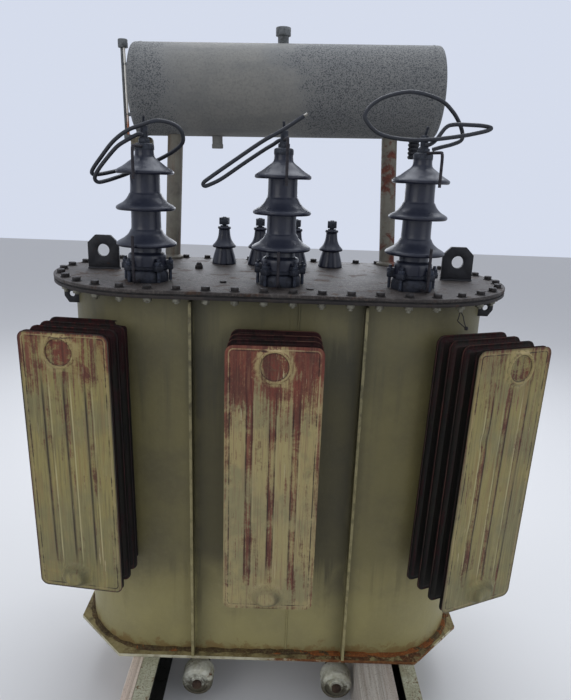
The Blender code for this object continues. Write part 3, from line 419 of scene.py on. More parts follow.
wireSizes = Named({
    "diameter": 0.0096,
    "left": [
        (-0.34, -0.1777, 1.6362), (-0.35, -0.181, 1.638), (-0.375, -0.19, 1.6231),
        (-0.3999, -0.192, 1.6063), (-0.4301, -0.192, 1.5733), (-0.449, -0.19, 1.5495),
        (-0.4582, -0.184, 1.5329), (-0.4533, -0.176, 1.5236), (-0.4372, -0.163, 1.5269),
        (-0.4128, -0.142, 1.5367), (-0.3939, -0.1131, 1.5464), (-0.3699, -0.0929, 1.5603),
        (-0.3396, -0.094, 1.5736), (-0.3114, -0.106, 1.5853), (-0.2718, -0.142, 1.6034),
        (-0.2481, -0.164, 1.6205), (-0.2439, -0.174, 1.6375), (-0.2519, -0.182, 1.6548),
        (-0.2748, -0.186, 1.6661), (-0.3073, -0.189, 1.6685), (-0.3369, -0.19, 1.659),
        (-0.3742, -0.19, 1.6445), (-0.4091, -0.188, 1.6186), (-0.4407, -0.184, 1.5823),
        (-0.4649, -0.176, 1.5526), (-0.4678, -0.167, 1.542), (-0.4564, -0.154, 1.5419),
        (-0.4365, -0.136, 1.5467), (-0.4139, -0.116, 1.5542), (-0.3922, -0.1, 1.5644)],
    "centre": [
        (0.0, -0.1523, 1.6362), (-0.012, -0.1512, 1.6362), (-0.026, -0.153, 1.627),
        (-0.0488, -0.158, 1.6128), (-0.099, -0.168, 1.5781), (-0.1493, -0.176, 1.5423),
        (-0.1782, -0.18, 1.5272), (-0.1911, -0.182, 1.5232), (-0.1938, -0.184, 1.5302),
        (-0.1774, -0.186, 1.5437), (-0.1168, -0.19, 1.5863), (-0.0504, -0.192, 1.6318),
        (-0.0043, -0.192, 1.6581), (0.0449, -0.19, 1.6911)],
    "right": [
        (0.34, -0.1777, 1.6362), (0.35, -0.181, 1.638), (0.364, -0.181, 1.649),
        (0.3859, -0.176, 1.6781), (0.4062, -0.178, 1.6852), (0.4415, -0.18, 1.6854),
        (0.4751, -0.18, 1.6843), (0.4917, -0.182, 1.6802), (0.4846, -0.184, 1.6742),
        (0.4609, -0.186, 1.6676), (0.4301, -0.188, 1.6608), (0.3886, -0.19, 1.6537),
        (0.3539, -0.192, 1.649), (0.3089, -0.192, 1.6463), (0.2612, -0.19, 1.6493),
        (0.2226, -0.188, 1.6594), (0.1975, -0.186, 1.68), (0.1893, -0.184, 1.6988),
        (0.2048, -0.18, 1.7218), (0.2358, -0.176, 1.7409), (0.2867, -0.17, 1.7543),
        (0.3285, -0.164, 1.7521), (0.3743, -0.158, 1.7388), (0.4043, -0.154, 1.7155),
        (0.424, -0.15, 1.6905), (0.4346, -0.148, 1.6668), (0.4326, -0.148, 1.6517),
        (0.4106, -0.152, 1.6415), (0.3853, -0.158, 1.6346), (0.362, -0.164, 1.6275)],
})


def cableSheath():
    material, place = startMaterial("cableSheath", 0.45)
    dust = between(cloud(place, 55.0, 5.0), 0.45, 0.75)
    scuff = between(cloud(place, 420.0, 3.0), 0.55, 0.75)
    tint = coats((24, 27, 34), (dust, (44, 48, 56)), (scuff * 0.35, (74, 76, 78)))
    return finished(material, tint, dust * 0.35 + 0.5, cloud(place, 700.0, 3.0), 0.15, 0.0004)


sheath = cableSheath()
for side in ("left", "centre", "right"):
    route = smoothRoute(wireSizes[side], 6)
    wire = tube("looseWire_" + side, route, wireSizes.diameter / 2.0, 5)
    wire.data.splines[0].use_smooth = True
    wire.data.materials.append(sheath)
    scene.collection.objects.link(wire)
    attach(wire, "transformer")
    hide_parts("wire_" + side)
tipStart = Vector(wireSizes.centre[-1])
tipEnd = tipStart + Vector((0.0083, -0.0002, 0.0054))
keep("bareTip", along([tipStart, tipEnd], 0.0034, 4), metalSkin("bareMetal", (166, 164, 156), (120, 116, 106),
                                                                (190, 188, 180), 0.5, 0.45))


# tank paint: the dark colour behind the radiators and beside the ribs is painted shade, the pale foot colour is
# painted light near the bottom, and the darker band towards the top is partly a stain below the flange and partly
# painted shade under the cover
tankPaint = agedPaint(
    "tankPaint",
    paint=(134, 125, 82), patch=(118, 110, 76), speck=(146, 138, 98), patchScale=5.0, fineShare=0.2,
    run=(100, 94, 66), runShare=0.28, runLow=0.35, runHigh=1.15, rust=(82, 58, 38), rustLight=(108, 78, 48),
    rustFrom=0.72, rough=0.5, low=(112, 82, 44), lowEnd=0.232, lowSoft=0.026, lowShare=0.6, top=(56, 58, 54),
    topStart=0.86, topSoft=0.36, topShare=0.5, wetShine=0.1, shelter=(38, 35, 28), foot=(162, 154, 106))
# rib paint: the paler front faces are a painted highlight on the rib edges, broken into flecks; darker towards the
# top
ribPaint = agedPaint(
    "ribPaint",
    paint=(126, 118, 78), patch=(112, 104, 72), speck=(140, 132, 94), fineShare=0.2, run=(96, 90, 62),
    runShare=0.3, rust=(82, 58, 38), rustLight=(108, 78, 48), rustFrom=0.7, faces=1, faceShare=0.5,
    faceFlecks=0.95, face=(168, 158, 118), patchScale=38.0, top=(50, 50, 44), topStart=0.62, topSoft=0.5,
    topShare=0.75)
footWeld = agedPaint(
    "footWeld",
    paint=(80, 62, 38), patch=(56, 42, 28), speck=(122, 112, 72), fineScale=160.0, fineShare=0.6,
    run=(44, 34, 24), runShare=0.4, rust=(110, 66, 36), rustLight=(150, 92, 48), rustFrom=0.58, rustScale=34.0,
    rightRust=True, rough=0.85, bump=0.8)
coverGrime = agedPaint(
    "coverGrime",
    paint=(60, 56, 54), patch=(44, 38, 35), speck=(104, 98, 93), fineScale=150.0, patchScale=9.0, fineShare=0.6,
    run=(32, 28, 26), runShare=0.6, runStretch=(11.0, 17.0, 9.0), rust=(58, 44, 36), rustLight=(80, 66, 56),
    rustFrom=0.56, rustScale=17.0, rough=0.58, bump=0.5, shine=0.28)
rimGrime = agedPaint(
    "rimGrime",
    paint=(40, 35, 32), patch=(28, 23, 21), speck=(70, 60, 52), fineShare=0.35, run=(22, 19, 18),
    rust=(58, 38, 28), rustLight=(78, 54, 38), rustFrom=0.6, rough=0.6, bump=0.5)
lugBlack = agedPaint(
    "lugBlack",
    paint=(26, 27, 32), patch=(18, 18, 22), speck=(42, 41, 42), fineShare=0.4, run=(18, 17, 18),
    rust=(42, 32, 29), rustLight=(60, 46, 38), rustFrom=0.64, rough=0.55, bump=0.4)
boltBlack = metalSkin("boltBlack", (40, 37, 36), (26, 23, 22), (84, 62, 48), 0.2, 0.55)
nutPale = metalSkin("nutPale", (128, 126, 112), (84, 80, 68), (150, 146, 130), 0.35, 0.5)
capDark = metalSkin("capDark", (50, 54, 62), (34, 36, 42), (84, 84, 84), 0.4, 0.5)
footBlack = metalSkin("footBlack", (30, 34, 45), (21, 23, 30), (56, 60, 70), 0.2, 0.5)
clawSteel = metalSkin("clawSteel", (54, 59, 71), (32, 34, 42), (88, 92, 100), 0.4, 0.45)
hornRust = metalSkin("hornRust", (46, 43, 47), (32, 31, 36), (82, 62, 52), 0.35, 0.6)
gasketBlack = metalSkin("gasketBlack", (30, 28, 26), (20, 19, 18), (52, 46, 40), 0.0, 0.7)


# tank

tankSizes = Named({
    "halfLength": 0.569, "halfWidth": 0.236, "wall": 0.006, "low": 0.2003, "high": 1.2632,
    "seamX": 0.052, "seamRadius": 0.003, "weldY": 0.2362, "filletRadius": 0.0045, "fillet": 0.001,
    "faintX": 0.03, "faintY": -0.2355, "faintLow": 1.13, "faintRadius": 0.0016,
    "ribX": 0.218, "ribStart": 0.2363, "ribReach": 0.268, "ribHalf": 0.004, "ribHigh": 1.2514,
    "ribEdge": 0.0012, "ribWeld": 0.0024,
    "dirt": ((0.0, 0.0005, 0.0048), (0.006, 0.001, 0.0036), (0.0105, 0.0004, 0.0026)),
})


def obroundSpot(halfLength, halfWidth, run):
    straight = halfLength - halfWidth
    half = 2.0 * straight + math.pi * halfWidth
    run = (run + straight) % (2.0 * half)
    sign = 1.0 if run < half else -1.0
    run %= half
    if run < 2.0 * straight:
        return sign * (run - straight), -sign * halfWidth, 0.0 if sign > 0.0 else math.pi
    angle = (run - 2.0 * straight) / halfWidth
    x = straight + halfWidth * math.sin(angle)
    y = -halfWidth * math.cos(angle)
    return sign * x, sign * y, angle + (0.0 if sign > 0.0 else math.pi)


def obroundLength(halfLength, halfWidth):
    return 4.0 * (halfLength - halfWidth) + 2.0 * math.pi * halfWidth


def obroundBead(halfLength, halfWidth, z, radius, steps, rough):
    total = obroundLength(halfLength, halfWidth)
    spots = []
    for step in range(steps):
        x, y, angle = obroundSpot(halfLength, halfWidth, total * step / steps)
        push = rough * noise.noise(Vector((x * 40.0, y * 40.0, z * 3.0)))
        spots.append((x + push * math.sin(angle), y - push * math.cos(angle), z + push))
    return along(spots + spots[:1], radius, 2, caps=False)


def waver(spot):
    # noise.noise is steady, while noise.noise_vector differs from run to run
    return Vector([noise.noise(spot + Vector((away, 0.0, 0.0))) for away in (0.0, 31.7, 67.3)])


def roughLine(start, end, radius, steps, rough):
    first, second = Vector(start), Vector(end)
    spots = []
    for step in range(steps + 1):
        spot = first.lerp(second, step / steps)
        wave = waver(spot * 55.0) * rough
        spots.append(spot + wave)
    return along(spots, radius, 2)


sizes = tankSizes
wall = obroundRing(sizes.halfLength, sizes.halfWidth, sizes.wall, sizes.low, sizes.high, 160)
keep("tankWall", wall, tankPaint, ("tank_wall_left", "tank_wall_right"))
beads = bmesh.new()


def weldUp(x, y, low, high, radius, steps, rough=0.0006):
    pour(beads, roughLine((x, y, low), (x, y, high), radius, steps, rough))


for side in (-1.0, 1.0):
    weldUp(sizes.seamX * side * -1.0, side * sizes.weldY, sizes.low, sizes.high, sizes.seamRadius, 130)
weldUp(sizes.faintX, sizes.faintY, sizes.faintLow, sizes.high, sizes.faintRadius, 30, 0.0004)
bead = obroundBead(sizes.halfLength, sizes.halfWidth, sizes.high - sizes.fillet, sizes.filletRadius, 260, 0.0008)
pour(beads, bead)
for side in (-1.0, 1.0):
    for face in (-1.0, 1.0):
        for edge in (-1.0, 1.0):
            x = side * sizes.ribX + edge * sizes.ribHalf
            weldUp(x, face * sizes.weldY, sizes.low, sizes.ribHigh, sizes.ribWeld, 120)
keep("tankWelds", beads, tankPaint, sharpDeg=60.0)
beads = bmesh.new()
for push, level, radius in sizes.dirt:
    bead = obroundBead(sizes.halfLength + push, sizes.halfWidth + push, sizes.low + level, radius, 420, 0.0055)
    pour(beads, bead)
keep("footDirt", beads, footWeld, sharpDeg=60.0)
for side, x in (("left", -sizes.ribX), ("right", sizes.ribX)):
    for face, sign in (("front", -1.0), ("back", 1.0)):
        edges = sorted((sign * sizes.ribStart, sign * sizes.ribReach))
        rib = block((x - sizes.ribHalf, edges[0], sizes.low), (x + sizes.ribHalf, edges[1], sizes.ribHigh),
                    sizes.ribEdge)
        keep("ribBar_" + face + "_" + side, rib, ribPaint, ("rib_" + face + "_" + side,))
print("tank made")


# cover, gasket, flange and their bolts

coverSizes = Named({
    "halfLength": 0.624, "halfWidth": 0.307, "top": 1.284, "low": 1.2757, "gasketLow": 1.2722,
    "flangeLow": 1.2637, "boltInset": 0.02, "boltStart": 0.0335, "boltCount": 44,
    "headRadius": 0.0108, "headHeight": 0.0086, "washerRadius": 0.013, "washerThick": 0.0016,
    "nutLow": 1.253, "studLow": 1.2475, "studRadius": 0.0054,
    "flangeWidth": 0.07, "gasketWidth": 0.06, "flangeBack": 0.0006, "gasketBack": 0.003, "seat": 0.0002,
})
sizes = coverSizes
cover = rounded(obround(sizes.halfLength, sizes.halfWidth, sizes.low, sizes.top, 160), 0.0016, 3, 50.0)
keep("coverSheet", cover, coverGrime, ("cover_plate",))
back = sizes.flangeBack
flange = obroundRing(sizes.halfLength - back, sizes.halfWidth - back, sizes.flangeWidth, sizes.flangeLow,
                     sizes.gasketLow - sizes.seat, 160)
keep("flangeRing", rounded(flange, 0.001, 2, 50.0), rimGrime, ("tank_flange",))
back = sizes.gasketBack
gasket = obroundRing(sizes.halfLength - back, sizes.halfWidth - back, sizes.gasketWidth, sizes.gasketLow,
                     sizes.low - sizes.seat, 160)
keep("gasketRing", gasket, gasketBlack)
heads = bmesh.new()
nuts = bmesh.new()
boltLine = (sizes.halfLength - sizes.boltInset, sizes.halfWidth - sizes.boltInset)
for index in range(sizes.boltCount):
    run = sizes.boltStart + obroundLength(*boltLine) * index / sizes.boltCount
    x, y, angle = obroundSpot(*boltLine, run)
    spin = random.uniform(0.0, 60.0)
    lift = sizes.top + sizes.washerThick
    # two spare draws keep the order of the ones below
    for spare in range(2):
        random.random()
    seat = shift(x, y, 0.0) @ turn("Z", spin)
    pour(heads, bar(sizes.washerRadius, sizes.top, lift, 24, 0.0003), seat)
    high = lift + sizes.headHeight * random.uniform(0.94, 1.02)
    pour(heads, bar(sizes.headRadius, lift, high, 6, 0.0009, 2), seat)
    under = sizes.flangeLow - sizes.washerThick
    pour(nuts, bar(sizes.washerRadius, under, sizes.flangeLow, 20), seat)
    pour(nuts, bar(sizes.headRadius, sizes.nutLow, under, 6, 0.0009, 2), seat)
    low = sizes.studLow + random.uniform(-0.002, 0.003)
    pour(nuts, bar(sizes.studRadius, low, sizes.nutLow, 14, 0.001), seat)
keep("coverBolts", heads, boltBlack)
keep("coverNuts", nuts, nutPale)
plugs = bmesh.new()
for x, y, radius, rise in ((-0.146, -0.168, 0.0085, 0.0045), (0.076, -0.226, 0.0095, 0.003)):
    pour(plugs, bar(radius, sizes.top, sizes.top + rise, 20, 0.0008, 2), shift(x, y, 0.0))
pour(plugs, bar(0.0125, sizes.top, sizes.top + 0.01, 6, 0.001, 2), shift(-0.239, 0.059, 0.0))
pour(plugs, turned([(0.0, 0.0), (0.0085, 0.0), (0.0085, 0.003), (0.006, 0.008), (0.0, 0.0095)], 24),
     shift(-0.239, 0.059, sizes.top + 0.01))
keep("coverPlugs", plugs, boltBlack)
print("cover made")


# lifting lugs and eye plates

lugSizes = Named({
    "x": 0.499, "halfWidth": 0.043, "height": 0.094, "thick": 0.012, "corner": 0.022, "hole": 0.017,
    "holeDrop": 0.042, "eyeY": -0.12, "eyeReach": 0.573, "eyeNear": 0.53, "eyeHeight": 0.054,
    "eyeThick": 0.008, "eyeHole": 0.0075, "eyeInset": 0.02, "eyeDrop": 0.031, "eyeTop": 1.2634,
})


def pierced(points, hole, holeRadius, thick, bevel, steps=48):
    bm = bmesh.new()
    verts = [bm.verts.new((x, -thick / 2.0, z)) for x, z in points]
    edges = [bm.edges.new(pair) for pair in zip(verts, verts[1:] + verts[:1])]
    ring = bmesh.ops.create_circle(bm, cap_ends=False, segments=steps, radius=holeRadius)["verts"]
    for vert in ring:
        vert.co = (vert.co.x + hole[0], -thick / 2.0, vert.co.y + hole[1])
    edges += list({edge for vert in ring for edge in vert.link_edges})
    bmesh.ops.triangle_fill(bm, use_beauty=True, use_dissolve=False, edges=edges)
    thicken(bm, (0.0, thick, 0.0))
    return rounded(bm, bevel, 2, 25.0) if bevel else bm


sizes = lugSizes
half, height, corner = sizes.halfWidth, sizes.height, sizes.corner
for side, x in (("left", -sizes.x), ("right", sizes.x)):
    outline = [(-half, 0.0), (half, 0.0), (half, height - corner), (half - corner, height),
               (corner - half, height), (-half, height - corner)]
    lug = bmesh.new()
    pour(lug, pierced(outline, (0.0, height - sizes.holeDrop), sizes.hole, sizes.thick, 0.001),
         shift(x, 0.0, coverSizes.top + 0.0002))
    for face in (-1.0, 1.0):
        y = face * sizes.thick / 2.0
        pour(lug, roughLine((x - half, y, coverSizes.top + 0.001), (x + half, y, coverSizes.top + 0.001),
                            0.0038, 30, 0.001))
    keep("liftingLug_" + side, lug, lugBlack, ("lifting_lug_" + side,), sharpDeg=40.0)
near, reach, deep = sizes.eyeNear, sizes.eyeReach, sizes.eyeHeight
for side, sign in (("left", -1.0), ("right", 1.0)):
    outline = [(near * sign, 0.0), (reach * sign, 0.0), (reach * sign, 0.018 - deep),
               ((reach - 0.012) * sign, -deep), (near * sign, -deep)]
    hole = (sign * (reach - sizes.eyeInset), -sizes.eyeDrop)
    keep("eyePlate_" + side, pierced(outline, hole, sizes.eyeHole, sizes.eyeThick, 0.0008, 36), lugBlack,
         ("eye_plate_" + side,), shift(0.0, sizes.eyeY, sizes.eyeTop - 0.0002))


seal = bmesh.new()
knot = (0.4645, -0.263, 1.2069)
for route in ([(0.4474, -0.2557, 1.249), (0.4438, -0.259, 1.2306), (0.4425, -0.26, 1.2245),
               (0.4548, -0.262, 1.2139), knot],
              [(0.4474, -0.2557, 1.249), (0.4551, -0.258, 1.2358), (0.4586, -0.26, 1.2225), knot]):
    pour(seal, along(route, 0.0013, 2, smooth=4))
pour(seal, turned([(0.0, -0.005), (0.004, -0.004), (0.0048, 0.0), (0.004, 0.004), (0.0, 0.005)], 16), shift(*knot))
keep("sealWire", seal, boltBlack, sharpDeg=60.0)


# porcelain bushings with their feet, clamps, caps and horns

def porcelainGlaze():
    material, place = startMaterial("porcelainGlaze", 0.36, shine=0.4, coat=0.12)
    dust = between(cloud(place, 24.0, 6.0, 0.65), 0.44, 0.74)
    streak = between(cloud(stretched(place, (90.0, 90.0, 9.0)), 1.0, 5.0, 0.6), 0.5, 0.72)
    # upward faces lighter and bluer: partly dust, partly a painted sky sheen
    top = between(normalParts(place)[2], 0.15, 0.85)
    tint = coats((24, 27, 41), (dust, (34, 37, 50)), (streak * 0.35, (54, 56, 66)), (top * 0.22, (74, 78, 88)))
    return finished(material, tint, dust * 0.2 + top * 0.14 + 0.3, cloud(place, 60.0, 4.0), 0.06, 0.001)


bushingSizes = Named({
    "pitch": 0.34, "y": -0.165, "base": 1.2841, "barrel": 0.037, "neck": 0.0235,
    "sheds": ((0.075, 0.088), (0.073, 0.176), (0.0705, 0.262)), "top": 0.3186, "steps": 72,
    "clawTurns": (-50.0, 6.0, 62.0, 118.0, 174.0, 230.0), "clawReach": 0.0575, "hornRadius": 0.0036,
    "tipLeans": {"left": 1.0, "centre": -6.0, "right": 14.0},
    "lowHorns": {"left": (-11.0, 0.119), "centre": (-3.0, 0.093), "right": (16.0, 0.113)},
    "highHorns": {"left": (-6.0, 0.007, -0.068), "centre": (6.0, 0.035, -0.0715),
                  "right": (19.0, 0.015, -0.0635)},
})


def shedRun(radius, level, upper):
    barrel = bushingSizes.barrel
    return [
        (barrel, level + 0.014), (barrel + 0.005, level + 0.0085), (radius - 0.02, level + 0.005),
        (radius - 0.01, level + 0.0014), (radius - 0.0045, level), (radius - 0.001, level + 0.0024),
        (radius, level + 0.006), (radius - 0.002, level + 0.0094), (radius - 0.008, level + 0.0135),
        (radius - 0.0185, level + 0.0195), (max(upper + 0.0085, radius - 0.031), level + 0.029),
        (upper + 0.003, level + 0.039), (upper, level + 0.048)]


glaze = porcelainGlaze()
sizes = bushingSizes
for side, x in (("left", -sizes.pitch), ("centre", 0.0), ("right", sizes.pitch)):
    spot = shift(x, sizes.y, sizes.base)
    profile = [(0.046, 0.0302), (0.0476, 0.033), (0.0478, 0.056), (0.0468, 0.065), (0.044, 0.069),
               (0.0392, 0.0712), (sizes.barrel, 0.075)]
    for index, (radius, level) in enumerate(sizes.sheds):
        profile += shedRun(radius, level, sizes.neck if index == 2 else sizes.barrel)
    profile = [(0.0, 0.0302)] + softened(profile + [(sizes.neck, sizes.top)], 3) + [(0.0, sizes.top)]
    keep("porcelain_" + side, turned(profile, sizes.steps), glaze,
         ("hv_insulator_" + side,), spot, sharpDeg=50.0)

    foot = bmesh.new()
    ring = [(0.0, 0.0), (0.052, 0.0), (0.0526, 0.003), (0.0518, 0.02), (0.049, 0.027), (0.045, 0.03),
            (0.0, 0.03)]
    pour(foot, turned(ring, sizes.steps), spot)
    pour(foot, turned([(0.0478, 0.032), (0.0505, 0.0325), (0.051, 0.039), (0.0478, 0.04)], 64), spot)
    keep("clampRing_" + side, foot, footBlack, ("hv_foot_" + side,), sharpDeg=40.0)
    horn = bmesh.new()
    turnDeg, reach = sizes.lowHorns[side]
    lowHorn = [(0, -0.03, 0.006), (0, -0.073, 0.006), (0, -0.0815, 0.0085), (0, -0.084, 0.017),
               (0, -0.0845, 0.05), (0, -0.085, reach)]
    pour(horn, along(lowHorn, sizes.hornRadius, 4, smooth=4), spot @ turn("Z", turnDeg))
    turnDeg, start, reach = sizes.highHorns[side]
    highHorn = [(0, -0.006, start), (0, -0.073, start), (0, -0.0815, start - 0.002), (0, -0.0845, start - 0.011),
                (0, -0.085, start - 0.03), (0, -0.085, reach)]
    pour(horn, along(highHorn, sizes.hornRadius, 4, smooth=4),
         spot @ shift(0, 0, sizes.top) @ turn("Z", turnDeg))
    keep("horns_" + side, horn, hornRust)

    claws = bmesh.new()
    studs = bmesh.new()
    for degrees in sizes.clawTurns:
        place = spot @ turn("Z", degrees) @ shift(sizes.clawReach, 0.0, 0.0)
        pour(claws, block((-0.0125, -0.0105, 0.029), (0.0075, 0.0105, 0.044), 0.0022, 3), place)
        pour(claws, block((-0.0155, -0.0075, 0.04), (-0.002, 0.0075, 0.052), 0.0022, 3), place)
        pour(studs, bar(0.0042, 0.001, 0.06, 14, 0.0008), place)
        pour(studs, bar(0.0088, 0.044, 0.0458, 20, 0.0003), place)
        pour(studs, bar(0.0082, 0.0458, 0.0528, 6, 0.0008, 2), place @ turn("Z", random.uniform(0, 60)))
    keep("claws_" + side, claws, footBlack)
    keep("clawStuds_" + side, studs, clawSteel)

    cap = bmesh.new()
    rise = [(0.0, 0.0), (0.0232, 0.0), (0.024, 0.0015), (0.024, 0.0105), (0.0225, 0.014), (0.018, 0.016),
            (0.0, 0.0162)]
    pour(cap, turned(rise, 48), spot @ shift(0, 0, sizes.top))
    head = spot @ shift(0, 0, sizes.top)
    pour(cap, bar(0.015, 0.0162, 0.0262, 6, 0.0012, 2), head @ turn("Z", 18.0))
    pour(cap, bar(0.0112, 0.0262, 0.03, 24, 0.0006), head)
    pour(cap, bar(0.0096, 0.03, 0.056, 24, 0.0016, 2), head)
    tip = [(0.0, 0.054)]
    for index in range(14):
        tip += [(0.0031, 0.054 + 0.0016 * index), (0.0037, 0.0548 + 0.0016 * index)]
    tip += [(0.0026, 0.0775), (0.0, 0.0775)]
    pour(cap, turned(tip, 16), head @ shift(0, 0, 0.054) @ turn("Y", sizes.tipLeans[side]) @ shift(0, 0, -0.054))
    keep("terminal_" + side, cap, capDark, ("hv_terminal_" + side,), sharpDeg=40.0)

lowSizes = Named({"pitch": 0.1105, "shift": -0.012, "y": 0.185, "base": 1.2841, "count": 4})
sizes = lowSizes
for index in range(sizes.count):
    x = sizes.shift + (index - 1.5) * sizes.pitch
    spot = shift(x, sizes.y, sizes.base)
    profile = [(0.0365, 0.0), (0.0375, 0.0025), (0.0362, 0.01), (0.0335, 0.023), (0.0298, 0.036),
               (0.027, 0.045), (0.0266, 0.0485), (0.03, 0.05), (0.0345, 0.0503), (0.0362, 0.053),
               (0.0358, 0.0562), (0.0325, 0.06), (0.0268, 0.0665), (0.022, 0.075), (0.019, 0.085),
               (0.0176, 0.096), (0.0172, 0.105), (0.0196, 0.1068), (0.02, 0.111), (0.0182, 0.114)]
    profile = [(0.0, 0.0)] + softened(profile, 3) + [(0.0, 0.1142)]
    keep("smallPorcelain_" + str(index + 1), turned(profile, 56), glaze,
         ("lv_bushing_" + str(index + 1),), spot, sharpDeg=50.0)
    metal = bmesh.new()
    pour(metal, bar(0.0066, 0.1142, 0.1425, 20, 0.0012), spot)
    pour(metal, bar(0.0125, 0.1142, 0.1164, 28, 0.0004), spot)
    nut = turn("Z", 45.0 + random.uniform(-14.0, 14.0))
    pour(metal, bar(0.0192, 0.1195, 0.1405, 4, 0.0016, 2), spot @ nut)
    keep("smallTerminal_" + str(index + 1), metal, capDark)
print("bushings made")


# conservator, posts and fittings

conservatorPaint = agedPaint(
    "conservatorPaint",
    paint=(128, 127, 122), patch=(118, 118, 115), speck=(80, 82, 82), patchScale=6.0, fineScale=150.0,
    fineShare=0.36, run=(100, 102, 102), runShare=0.4, runStretch=(5.0, 26.0, 26.0), rust=(72, 74, 77),
    rustLight=(90, 93, 95), rustFrom=0.665, rustScale=270.0, rustSoft=0.1, rough=0.75, bump=0.5, lichen=0.19,
    dense=(114, 116, 117), shine=0.25)
fittingGrey = metalSkin("fittingGrey", (98, 101, 102), (72, 74, 74), (120, 122, 120), 0.1, 0.6)
postPaint = agedPaint(
    "postPaint",
    paint=(112, 109, 98), patch=(90, 86, 78), speck=(128, 123, 110), patchScale=12.0, run=(92, 72, 58),
    runShare=0.6, runStretch=(60.0, 60.0, 5.0), rust=(84, 46, 38), rustLight=(108, 66, 52), rustFrom=0.72,
    rustScale=20.0, rustSoft=0.1, rightRust=True, rough=0.6)
breatherBlack = metalSkin("breatherBlack", (34, 36, 42), (22, 23, 27), (60, 60, 62), 0.1, 0.5)
potOlive = metalSkin("potOlive", (92, 84, 62), (62, 54, 42), (120, 108, 84), 0.1, 0.5)


def gaugeGlass():
    material, place = startMaterial("gaugeGlass", 0.12, coat=0.5)
    # the pale upper tube is a painted view of the sky through the glass, the orange-brown lower end is oil residue
    share = between(parts(place)[2] + cloud(place, 60.0, 4.0) * 0.05, 1.7, 1.775)
    return finished(material, mix(share, (166, 92, 46), (228, 224, 214)))


conservatorSizes = Named({
    "y": 0.31, "z": 1.804, "tiltDeg": -1.2, "radius": 0.134, "half": 0.46, "dish": 0.012, "seam": 0.44,
    "fillerX": -0.012, "stubX": -0.217, "breatherX": 0.405, "gaugeX": -0.5, "potX": -0.455, "potDrop": 0.182,
    "postLeft": (-0.354, -0.341), "postRight": (0.345, 0.322), "postY": 0.272, "postRadius": 0.024,
})
sizes = conservatorSizes
lying = shift(0.0, sizes.y, sizes.z) @ turn("Y", sizes.tiltDeg)
radius, half, dish = sizes.radius, sizes.half, sizes.dish
end = softened([(0.0, dish), (0.055, dish - 0.0008), (0.095, dish - 0.003), (0.118, dish - 0.0056),
                (0.1275, dish - 0.008), (0.1318, dish - 0.0115), (0.1336, dish - 0.0155), (radius, dish - 0.02)], 4)
seam = [(radius, sizes.seam - half + 0.004), (radius + 0.0012, sizes.seam - half + 0.002),
        (radius + 0.0012, sizes.seam - half - 0.001), (radius, sizes.seam - half - 0.003)]
rightEnd = end + seam
profile = [(r, -(half + z)) for r, z in rightEnd] + [(r, half + z) for r, z in reversed(rightEnd)]
keep("conservatorDrum", turned(profile, 128), conservatorPaint,
     ("conservator_shell", "conservator_end_left", "conservator_end_right"), lying @ turn("Y", 90.0), sharpDeg=50.0)

neck = [(0.0, -0.006), (0.0165, -0.006), (0.0165, 0.026), (0.018, 0.0275), (0.0225, 0.0285), (0.0227, 0.03),
        (0.0227, 0.05), (0.0215, 0.0518), (0.0, 0.0522)]
keep("fillerCap", turned(neck, 40), fittingGrey, ("filler_cap",),
     lying @ shift(sizes.fillerX, 0.0, radius - 0.0066), sharpDeg=40.0)
drop = [(0.0, -0.006), (0.0162, -0.006), (0.0162, 0.024), (0.0178, 0.025), (0.0178, 0.0365), (0.0165, 0.038),
        (0.0, 0.0382)]
keep("drainStub", turned(drop, 36), conservatorPaint, ("drain_stub",),
     lying @ shift(sizes.stubX, 0.0, 0.002 - radius) @ turn("X", 180.0), sharpDeg=40.0)
ribs = [(0.0, -0.006), (0.0148, -0.006), (0.0148, 0.001)]
for index in range(5):
    low = 0.002 + 0.0122 * index
    ribs += [(0.015, low), (0.0176, low + 0.002), (0.0185, low + 0.0045), (0.0182, low + 0.0075),
             (0.0165, low + 0.0098)]
ribs += [(0.015, 0.0628), (0.0, 0.0632)]
keep("breatherRibs", turned(ribs, 40), breatherBlack, ("breather",),
     lying @ shift(sizes.breatherX, 0.0, 0.002 - radius) @ turn("X", 180.0), sharpDeg=50.0)

gauge = bmesh.new()
x = sizes.gaugeX
pour(gauge, block((x - 0.0075, -0.005, -0.148), (x - 0.0005, 0.006, 0.118), 0.0016), lying)
capRun = [(0.0, 0.0), (0.0138, 0.0), (0.0148, 0.0015), (0.0148, 0.0205), (0.0135, 0.0235), (0.0, 0.0242)]
pour(gauge, turned(capRun, 36), lying @ shift(x, 0.0, 0.118))
pour(gauge, turned([(0.0, 0.0), (0.011, 0.0), (0.0115, 0.018), (0.0, 0.0185)], 32), lying @ shift(x, 0.0, -0.15))
for level in (0.072, -0.072):
    pour(gauge, along([(x - 0.003, 0.0, level), (-(half + dish * 0.6), 0.0, level)], 0.0058, 3), lying)
    pour(gauge, turned([(0.0, 0.0), (0.0105, 0.0), (0.0105, 0.006), (0.0, 0.006)], 28),
         lying @ shift(-(half + dish), 0.0, level) @ turn("Y", -90.0))
keep("gaugePipe", gauge, fittingGrey, ("level_gauge",), sharpDeg=40.0)
glass = along([(x + 0.0036, -0.002, -0.134), (x + 0.0036, -0.002, 0.119)], 0.0036, 4)
keep("gaugeTube", glass, gaugeGlass(), at=lying)
potRun = [(0.0, 0.0), (0.0235, 0.0), (0.03, 0.0035), (0.0345, 0.0095), (0.0355, 0.016), (0.0355, 0.03),
          (0.034, 0.0365), (0.029, 0.0415), (0.022, 0.044), (0.0165, 0.045), (0.016, 0.07), (0.0, 0.0705)]
keep("oilPot", turned(softened(potRun, 2), 48), potOlive, ("oil_pot",),
     lying @ shift(sizes.potX, 0.0, -sizes.potDrop), sharpDeg=40.0)

